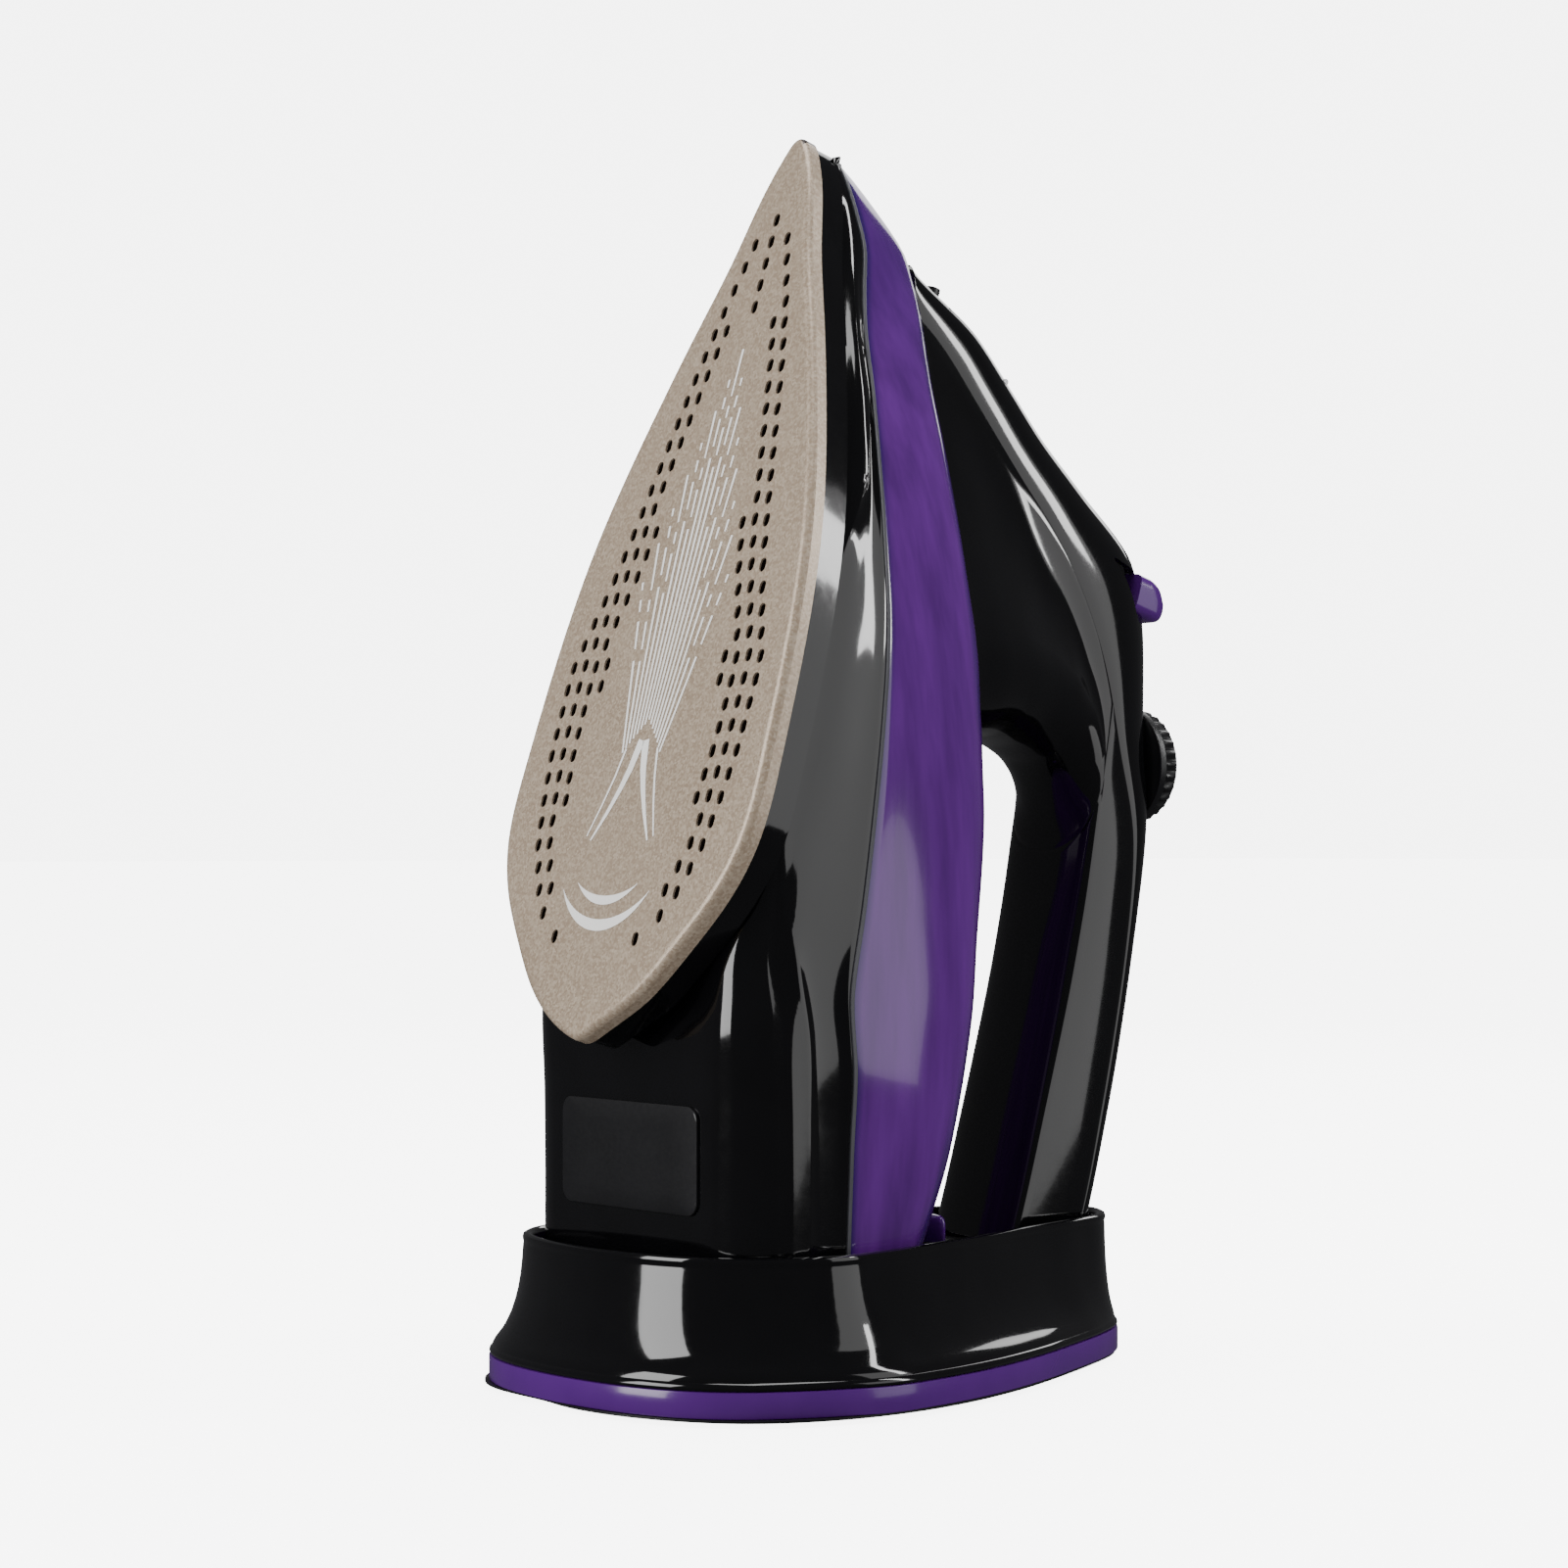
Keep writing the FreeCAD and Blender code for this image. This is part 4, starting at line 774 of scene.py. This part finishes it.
def copied(piece, name):
    """A second piece with a mesh of its own."""
    copy = piece.copy()
    copy.data = piece.data.copy()
    copy.name = name
    bpy.context.scene.collection.objects.link(copy)
    return copy


DOOR_LOW, DOOR_HIGH, DOOR_HALF = 190.8, 203.9, 4.6
HINGE_ROOM = 1.9                    # the flap's hinged edge swings into this room as it opens
WELL_HALF, WELL_LOW, WELL_HIGH = 5.3, 148.3, 159.5
door = copied(cap, "filling_door_flap")
door_block = block("door_block", (-DOOR_HALF, DOOR_LOW + SEAM, 54), (DOOR_HALF, DOOR_HIGH, 90),
                   iron_place)
cut(door, door_block, "INTERSECT")
wide_block = block("door_room", (-DOOR_HALF - SEAM, DOOR_LOW - HINGE_ROOM, 53),
                   (DOOR_HALF + SEAM, DOOR_HIGH + SEAM, 92), iron_place)
cut(cap, wide_block)
for side_sign in (-1, 1):
    middle = side_sign * BUTTON_SIDE
    well = block("button_well", (middle - WELL_HALF, WELL_LOW, 118),
                 (middle + WELL_HALF, WELL_HIGH, 160), iron_place)
    cut(cap, well)
    cut(pillar_cover, well)
    dropped(well)
dropped(door_block, wide_block)
for piece in (door, cap, pillar_cover):
    tidy_faces(piece)
    smooth_look(piece)
    told(piece)

# %% [markdown]
# ## Finishes
# Each finish is made from a few nodes: its colour, a fine grain that breaks the gloss, and its
# shine. Colours are given as the usual hex values and turned to linear light by one function.


# %% Finish helpers
def linear(code):
    """A hex colour as linear light, with full cover."""
    parts = [int(code[i:i + 2], 16) / 255 for i in (0, 2, 4)]
    return tuple([p / 12.92 if p <= 0.04045 else ((p + 0.055) / 1.055) ** 2.4 for p in parts] + [1])


def add(tree, kind, inputs=None, **settings):
    """Adds a node, sets it up and links or fills its sockets."""
    made_node = tree.nodes.new(kind)
    for key, value in settings.items():
        setattr(made_node, key, value)
    for socket, value in (inputs or {}).items():
        if isinstance(value, bpy.types.NodeSocket):
            tree.links.new(value, made_node.inputs[socket])
        else:
            made_node.inputs[socket].default_value = value
    return made_node


def finish_of(name, shade, **shader_values):
    """A material whose colour, roughness and bump come from shade(tree, coordinates)."""
    material = bpy.data.materials.new(name)
    material.use_nodes = True
    tree = material.node_tree
    tree.nodes.clear()
    coordinates = add(tree, "ShaderNodeTexCoord").outputs["Object"]
    colour, roughness, normal = shade(tree, coordinates)
    shader = add(tree, "ShaderNodeBsdfPrincipled",
                 {"Base Color": colour, "Roughness": roughness, "Normal": normal})
    for key, value in shader_values.items():
        shader.inputs[key.replace("_", " ")].default_value = value
    output = add(tree, "ShaderNodeOutputMaterial")
    tree.links.new(shader.outputs["BSDF"], output.inputs["Surface"])
    return material


def mixed(tree, share, low_colour, high_colour):
    """One colour running into another; each is a hex code or another node's colour."""
    low, high = (linear(c) if isinstance(c, str) else c for c in (low_colour, high_colour))
    return add(tree, "ShaderNodeMix", {0: share, 6: low, 7: high}, data_type="RGBA").outputs[2]


def ranged(tree, value, low, high):
    """A value spread over a range, as for roughness."""
    return add(tree, "ShaderNodeMapRange",
               {"Value": value, "To Min": low, "To Max": high}).outputs["Result"]


def bumped(tree, height, strength, bump_mm):
    """A surface raised by a pattern, by a depth in millimetres."""
    return add(tree, "ShaderNodeBump", {"Height": height, "Strength": strength,
                                        "Distance": bump_mm * MM}).outputs["Normal"]


def noise(tree, coordinates, cell_mm, **inputs):
    """A soft pattern whose cells are so many millimetres across."""
    return add(tree, "ShaderNodeTexNoise", {"Vector": coordinates, "Scale": 1 / (cell_mm * MM),
                                            **inputs}).outputs["Fac"]


def moulded(low_code, high_code, cell_mm, rough_low, rough_high, bump_mm):
    """Moulded plastic: slow colour drift, uneven shine and a fine skin."""
    def shade(tree, coordinates):
        drift = noise(tree, coordinates, 14)
        grain = noise(tree, coordinates, cell_mm, Detail=3.0)
        return (mixed(tree, drift, low_code, high_code), ranged(tree, grain, rough_low, rough_high),
                bumped(tree, grain, 0.25, bump_mm))
    return shade


# %% Plastics
# Gloss black ABS, moulded in a polished tool: near black, mirror-like, with faint flow marks.
gloss_black = finish_of("gloss_black_abs", moulded("050506", "0b0b0d", 3.0, 0.05, 0.1, 0.02),
                        IOR=1.52, Coat_Weight=0.35, Coat_Roughness=0.03)
# Satin black ABS from a spark-eroded tool: a little greyer and duller.
satin_black = finish_of("satin_black_abs", moulded("0d0d0f", "17171a", 0.8, 0.3, 0.42, 0.03),
                        IOR=1.5)
# Satin grey trim, painted: it draws the thin line between shell and tank.
satin_grey = finish_of("grey_trim_paint", moulded("3b3b40", "4a4a50", 0.8, 0.28, 0.4, 0.02),
                       IOR=1.5)
# Violet ABS, high gloss, for the band, buttons and latch.
gloss_violet = finish_of("gloss_violet_abs", moulded("46166a", "532078", 3.0, 0.14, 0.22, 0.02),
                         IOR=1.52, Coat_Weight=0.3, Coat_Roughness=0.06)
# White engineering plastic of the inner parts, unpolished.
white_plastic = finish_of("white_nylon", moulded("c9c6bd", "dad7cf", 1.0, 0.4, 0.55, 0.05),
                          IOR=1.53)
# Rubber feet, moulded: dark and matt.
foot_rubber = finish_of("moulded_rubber", moulded("1b1b1c", "272728", 0.6, 0.7, 0.85, 0.06),
                        IOR=1.5)
# Silicone tube and gasket: milky and soft.
silicone = finish_of("silicone_rubber", moulded("a3a19c", "b8b6b0", 1.2, 0.45, 0.6, 0.03),
                     IOR=1.41)


def tank_shade(tree, coordinates):
    """Clear violet plastic: faint streaks along its length, with painted shade at the seams, darker
    towards the nose.
    """
    streaks = add(tree, "ShaderNodeMapping", {"Vector": coordinates, "Rotation": (LEAN, 0, 0),
                                              "Scale": (1 / (5 * MM), 1 / (9 * MM), 1 / (60 * MM))})
    flow = add(tree, "ShaderNodeTexNoise", {"Vector": streaks.outputs["Vector"], "Scale": 1.0,
                                            "Detail": 3.0, "Roughness": 0.55}).outputs["Fac"]
    edge = add(tree, "ShaderNodeAttribute", attribute_name="edge").outputs["Fac"]
    level = add(tree, "ShaderNodeMapRange", {"Value": flow, "From Min": 0.1, "From Max": 0.9})
    body = mixed(tree, level.outputs["Result"], "3c145a", "66298c")
    # Painted shade: the edge attribute darkens the colour to deep violet along the seams and
    # towards the nose.
    return (mixed(tree, edge, body, "260c54"), ranged(tree, flow, 0.08, 0.16),
            bumped(tree, flow, 0.1, 0.2))


# Clear violet polycarbonate, polished: painted shade deep at its seams, lighter through the middle.
clear_violet = finish_of("clear_violet_polycarbonate", tank_shade, IOR=1.58, Coat_Weight=0.4,
                         Coat_Roughness=0.04)


# Half-width of the field of steam slots, by share of the plate's length from its heel.
SLOT_FIELD = [(0.0, 0), (1.0, 2), (0.045, 0), (0.07, 22), (0.12, 34), (0.2, 40), (0.4, 41),
              (0.55, 32), (0.8, 18), (0.92, 6)]
FIELD_SCALE = 50.0
# Painted shade: below this depth the slot walls are coloured dark brown, where shade falls.
SLOT_SHADE_FROM = 0.5                     # the enamel reaches this far into a slot


def slot_shade_mask(tree, coordinates):
    """One inside the steam slots below the enamelled face, where shade is painted, and nothing
    elsewhere.
    """
    turned = add(tree, "ShaderNodeVectorRotate",
                 {"Vector": coordinates, "Center": iron_place(0, 0, 0), "Angle": LEAN},
                 rotation_type="X_AXIS")
    place = add(tree, "ShaderNodeSeparateXYZ", {"Vector": turned.outputs["Vector"]})
    deep = add(tree, "ShaderNodeMath", {0: place.outputs["Y"],
                                        1: (HEEL_PLACE[0] + SLOT_SHADE_FROM) * MM},
               operation="GREATER_THAN")
    side = add(tree, "ShaderNodeMath", {0: place.outputs["X"]}, operation="ABSOLUTE")
    along = add(tree, "ShaderNodeMapRange", {"Value": place.outputs["Z"],
                                             "From Min": HEEL_PLACE[1] * MM,
                                             "From Max": (HEEL_PLACE[1] + PLATE_LENGTH) * MM})
    field = add(tree, "ShaderNodeFloatCurve", {"Value": along.outputs["Result"]})
    points = field.mapping.curves[0].points
    for spot, (share, half) in enumerate(SLOT_FIELD):
        if spot < 2:
            points[spot].location = (share, half / FIELD_SCALE)
        else:
            points.new(share, half / FIELD_SCALE)
    field.mapping.update()
    limit = add(tree, "ShaderNodeMath", {0: field.outputs["Value"], 1: FIELD_SCALE * MM},
                operation="MULTIPLY")
    within = add(tree, "ShaderNodeMath", {0: side.outputs["Value"], 1: limit.outputs["Value"]},
                 operation="LESS_THAN")
    return add(tree, "ShaderNodeMath", {0: deep.outputs["Value"], 1: within.outputs["Value"]},
               operation="MULTIPLY").outputs["Value"]


def enamel_shade(tree, coordinates):
    """Ceramic enamel: champagne ground with fine metallic flake, with painted shade dark inside the
    slots.
    """
    flake = add(tree, "ShaderNodeTexVoronoi", {"Vector": coordinates, "Scale": 1 / (0.55 * MM)})
    spark = add(tree, "ShaderNodeMapRange", {"Value": flake.outputs["Color"], "From Min": 0.25,
                                             "From Max": 0.95}).outputs["Result"]
    ground = mixed(tree, noise(tree, coordinates, 30), "9a8773", "a79480")
    face = mixed(tree, spark, ground, "beae9a")
    # Painted shade: the slots are dark brown below the face.
    return (mixed(tree, slot_shade_mask(tree, coordinates), face, "2a1c14"),
            ranged(tree, spark, 0.32, 0.42), bumped(tree, flake.outputs["Distance"], 0.25, 0.03))


# Champagne ceramic enamel, sprayed and fired: soft glare, fine flake, painted shade in the slots.
enamel = finish_of("champagne_ceramic_enamel", enamel_shade, IOR=1.5, Metallic=0.25,
                   Coat_Weight=0.15, Coat_Roughness=0.25)


def metal(low_code, high_code, cell_mm, rough_low, rough_high):
    """Bare metal: fine brushed or cast grain in its shine."""
    def shade(tree, coordinates):
        grain = noise(tree, coordinates, cell_mm, Detail=4.0)
        return (mixed(tree, grain, low_code, high_code), ranged(tree, grain, rough_low, rough_high),
                bumped(tree, grain, 0.3, 0.05))
    return shade


# Die-cast aluminium, unpolished: grey with a coarse, dull grain.
cast_aluminium = finish_of("cast_aluminium", metal("8f9092", "a9aaac", 1.2, 0.38, 0.55),
                           Metallic=1.0)
# Drawn and rolled steel of pins, screws, sheath and lid: brighter, with a finer grain.
steel = finish_of("bright_steel", metal("9a9a9c", "b5b5b7", 0.5, 0.2, 0.32), Metallic=1.0)
# Turned brass of the contacts.
brass = finish_of("turned_brass", metal("a8823c", "c09a50", 0.5, 0.22, 0.34), Metallic=1.0)
# White ceramic ink, screen printed: matt and slightly uneven.
print_ink = finish_of("white_ceramic_ink", moulded("e8e6e2", "f6f5f3", 0.6, 0.4, 0.55, 0.01),
                      IOR=1.5)

# %% [markdown]
# ## Printed fan on the ironing face
# The face carries a plain white fan of rays with a forked foot and two crescents, printed in
# ceramic ink. Each line is a thin film just proud of the face, so its edges stay crisp.

# %% Printed fan
FILM_OUT, FILM_THICK = -0.08, 0.06
RAYS, RAY_FOOT = 15, 69.0
RAY_FOOT_HALF, RAY_TOP_HALF = 7.4, 17.0
# Half of the forked foot: places along each stroke, and its width at each place.
STROKES = [([(0.8, 72), (2.6, 65), (4.6, 60), (7.6, 54), (11.4, 47.5)], [2.6, 2.2, 1.7, 1.2, 0.5]),
           ([(6.3, 70), (8.0, 63), (10.4, 56), (13.4, 48.5)], [0.7, 0.7, 0.6, 0.4])]
CRESCENTS = [(22, 49.0, 52, 2.8), (19.5, 52.5, 38, 2.2)]    # radius, centre, half turn, width


def ribbon(name, middle_line, widths):
    """A flat film along a line of (x, y) places, with a width at each place."""
    rows = []
    last = len(middle_line) - 1
    for i, (x, y) in enumerate(middle_line):
        (ax, ay), (bx, by) = middle_line[max(i - 1, 0)], middle_line[min(i + 1, last)]
        length = math.hypot(bx - ax, by - ay)
        nx, ny = -(by - ay) / length, (bx - ax) / length
        rows.append([iron_place(x + nx * widths[i] * side, y + ny * widths[i] * side, FILM_OUT)
                     for side in (-0.5, 0.5)])
    return skin(name, rows)


def ray_films(ray):
    """One ray: a long line from the foot, then shorter dashes out to its reach."""
    lean = (ray - (RAYS - 1) / 2) / ((RAYS - 1) / 2)
    reach = 120 + 50 * (1 - abs(lean)) ** 0.9 - 8 * abs(lean)
    tail = reach - (6 + 10 * (ray % 2))
    dashes = [(RAY_FOOT + 8 * (1 - abs(lean)), tail - 14), (tail - 11, tail - 4),
              (tail - 1.5, tail + 1.5), (tail + 4, reach)]
    made_films = []
    for dash in dashes:
        ends = []
        for y in dash:
            share = (y - RAY_FOOT) / (reach - RAY_FOOT)
            ends.append((lean * (RAY_FOOT_HALF + share * (RAY_TOP_HALF - RAY_FOOT_HALF)), y))
        made_films.append(ribbon("ray", ends, [0.62, 0.8]))
    return made_films


films = [film for ray in range(RAYS) for film in ray_films(ray)]
for side_sign in (-1, 1):
    for places, widths in STROKES:
        films.append(ribbon("fork", [(side_sign * x, y) for x, y in places], widths))
for radius, centre, half_turn, thick in CRESCENTS:
    turns = [math.radians(turn) for turn in stations(-half_turn, half_turn, 4)]
    bow = [(radius * math.sin(turn), centre - radius * math.cos(turn)) for turn in turns]
    films.append(ribbon("bow", bow, [max(0.1, thick * math.cos(turn * 90 / half_turn))
                                     for turn in turns]))
sole_print = joined("sole_print", films)
apply_modifier(sole_print, "SOLIDIFY", thickness=FILM_THICK * MM, offset=0.0)
tidy_faces(sole_print, SAME_SPOT / 10)
told(sole_print)

# %% [markdown]
# ## Painted shade on the tank
# Shade is painted into the tank's colour along its seams with the trim and the deck, and it grows
# darker towards the nose. An attribute is painted on the mesh, from one at the seams to nothing
# in the middle, and the finish reads it.

# %% Paint shade on the tank's edges
# Painted shade: width, fall-off and depth of the darkening beside the seams.
SHADE_BAND, SHADE_FALL, SHADE_MOST = 2.6, 1.3, 0.9
NOSE_FROM, NOSE_LENGTH, NOSE_DARKENING = 165.0, 50.0, 0.45
DECK_START = TANK_DECK[0][0]


def deck_height(y):
    """Height of the tank's deck; before its drawn rows it runs level with a slight rise."""
    if y > DECK_START:
        return smooth_row(TANK_DECK, y)[0]
    return 79 + 6 * min(1.0, (DECK_START - y) / 60)


def painted_shade_at(place):
    """How deep the painted shade is at one place of the tank's mesh."""
    back, up = place.y / MM - HEEL_PLACE[0], place.z / MM - HEEL_PLACE[1]
    y = back * math.sin(LEAN) + up * math.cos(LEAN)
    z = back * math.cos(LEAN) - up * math.sin(LEAN)
    near = min(abs(z - foot_height(y)), abs(deck_height(y) - z))
    nose = NOSE_DARKENING * max(0.0, min(1.0, (y - NOSE_FROM) / NOSE_LENGTH))
    return min(1.0, max(0.0, 1 - near / SHADE_BAND) ** SHADE_FALL * SHADE_MOST + nose)


# The painted shade goes into the tank's point attribute 'edge'.
tint = tank.data.attributes.new("edge", "FLOAT", "POINT")
tint.data.foreach_set("value", [painted_shade_at(vertex.co) for vertex in tank.data.vertices])
print("edge tint on", len(tank.data.vertices), "points")

# %% [markdown]
# ## Dress the pieces
# Each modelled piece gets its finish and the body it rides on, and the measured nodes that it
# stands for are hidden. The nodes that stay as they are only get a finish.

# %% Dress the pieces
STANDS_FOR = [  # piece, body, finish, slot, nodes it stands for
    (heel_plate, "iron", satin_black, "black_satin", ["heel_panel"]),
    (lower_shell, "iron", gloss_black, "black_gloss", ["lower_shell"]),
    (tank_trim, "iron", satin_grey, "grey_satin", ["tank_trim"]),
    (tank, "iron", clear_violet, "violet_clear", ["water_tank"]),
    (pillar_cover, "iron", gloss_black, "black_gloss", ["upper_cover"]),
    (grip, "iron", gloss_black, "black_gloss", ["handle_grip"]),
    (cap, "iron", gloss_black, "black_gloss", ["handle_cap"]),
    (door, "door", gloss_black, "black_gloss", ["filling_door"]),
    (collar, "dock", gloss_black, "black_gloss", ["dock_collar"]),
    (band, "dock", gloss_violet, "violet_gloss", ["dock_band"]),
    (dial, "dial", satin_black, "black_satin", ["dial_knob"]),
    (spray_key, "spray_key", gloss_violet, "violet_gloss", ["spray_button"]),
    (steam_key, "steam_key", gloss_violet, "violet_gloss", ["steam_button"]),
    (latch, "latch", gloss_violet, "violet_gloss", ["latch_turn"]),
    (sole_print, "iron", print_ink, "white_plastic", [])]


def dress(piece, material):
    """Gives a piece its one finish."""
    piece.data.materials.clear()
    piece.data.materials.append(material)


for piece, body, material, slot, nodes in STANDS_FOR:
    dress(piece, material)
    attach(piece, body)
    if nodes:
        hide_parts(*nodes)

NODE_FINISH = {
    "soleplate": enamel, "heater_casting": cast_aluminium, "heating_element": steel,
    "chamber_gasket": silicone, "chamber_lid": steel, "skirt": gloss_black, "door_pin": steel,
    "spray_pump": white_plastic, "steam_pump": white_plastic, "spray_hose": silicone,
    "steam_hose": silicone, "spray_nozzle": satin_black, "dial_shaft": white_plastic,
    "heel_base": satin_black, "terminal_block": white_plastic, "contact_pads": brass,
    "dock_contacts": brass, "latch_shaft": steel, "latch_bolt": steel,
    "dock_floor": satin_black, "dock_seat": satin_black, "dock_posts": satin_black,
    "dock_feet": foot_rubber, "dock_screws": steel, "contact_carrier": white_plastic,
    "cord_gland": satin_black, "latch_keeper": satin_black, "thermostat": steel,
    "thermal_fuse": white_plastic, "drip_valve": white_plastic, "lid_screws": steel}
for node_name, material in NODE_FINISH.items():
    dress(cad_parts[node_name], material)
shown = set(NODE_FINISH) | {name for row in STANDS_FOR for name in row[4]}
print("nodes with no finish:", sorted(set(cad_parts) - shown))

# %% [markdown]
# ## Studio
# A plain pale floor under soft light. Gloss black is seen by what it mirrors, so the room is
# kept dim to it and large soft boxes are placed to draw the long highlights.


# %% Floor and light
FLOOR_SPAN, FLOOR_DROP = 60.0, 0.0002
BACKDROP, SOFT_FILL, MIRRORED_ROOM = 6.0, 0.6, 0.12     # strengths of the light all round
start_clean()
bpy.ops.mesh.primitive_plane_add(size=FLOOR_SPAN, location=(0, 0, -FLOOR_DROP))
floor = made("studio_floor")


def floor_shade(tree, coordinates):
    """Pale matt paper with a faint tooth."""
    grain = noise(tree, coordinates, 40)
    return (mixed(tree, grain, "f0f0f0", "f6f6f6"), ranged(tree, grain, 0.75, 0.9),
            bumped(tree, grain, 0.05, 0.1))


# Pale paper, lit so that it meets the wall behind it without a line.
dress(floor, finish_of("pale_paper", floor_shade, IOR=1.4, Emission_Color=linear("ffffff"),
                       Emission_Strength=BACKDROP))
floor.visible_glossy = False
floor.visible_diffuse = False

world = bpy.data.worlds.new("studio")
bpy.context.scene.world = world
world.use_nodes = True
world.node_tree.nodes.clear()
path = add(world.node_tree, "ShaderNodeLightPath")
dim, bright, fill = (
    add(world.node_tree, "ShaderNodeBackground", {"Color": linear(code), "Strength": strength})
    for code, strength in (("c8c8cc", MIRRORED_ROOM), ("ffffff", BACKDROP), ("ffffff", SOFT_FILL)))
soft = add(world.node_tree, "ShaderNodeMixShader", {0: path.outputs["Is Glossy Ray"],
                                                    1: fill.outputs[0], 2: dim.outputs[0]})
either = add(world.node_tree, "ShaderNodeMixShader", {0: path.outputs["Is Camera Ray"],
                                                      1: soft.outputs[0], 2: bright.outputs[0]})
add(world.node_tree, "ShaderNodeOutputWorld", {"Surface": either.outputs[0]})

TURN = math.radians(CAMERA_TURN)
RIGHTWARD = Vector((math.cos(TURN), math.sin(TURN), 0))
NEARWARD = Vector((math.sin(TURN), -math.cos(TURN), 0))
AIM = Vector((0, 0, 0.14))
SOFT_BOXES = [  # name, rightward, towards the camera, up, width, height, power
    ("box_left", -1.1, 0.5, 0.35, 0.6, 1.0, 14),
    ("box_right_broad", 1.3, 0.45, 0.3, 1.0, 1.1, 4.5),
    ("box_right_strip", 1.15, 0.1, 0.75, 0.16, 0.9, 7),
    ("box_over", 0.1, 0.1, 1.4, 0.8, 0.8, 12),
    ("box_back", 0.4, -1.2, 0.8, 1.0, 0.8, 8)]


def soft_box(name, right, near, up, width, height, power):
    """A soft light placed from the object, rightward and towards the camera, aimed at it."""
    data = bpy.data.lights.new(name, "AREA")
    data.shape = "RECTANGLE"
    data.size, data.size_y, data.energy = width, height, power
    lamp = bpy.data.objects.new(name, data)
    lamp.location = AIM + RIGHTWARD * right + NEARWARD * near + Vector((0, 0, up))
    lamp.rotation_euler = (AIM - lamp.location).to_track_quat("-Z", "Y").to_euler()
    bpy.context.scene.collection.objects.link(lamp)


for row in SOFT_BOXES:
    soft_box(*row)
print(len(SOFT_BOXES), "soft boxes")
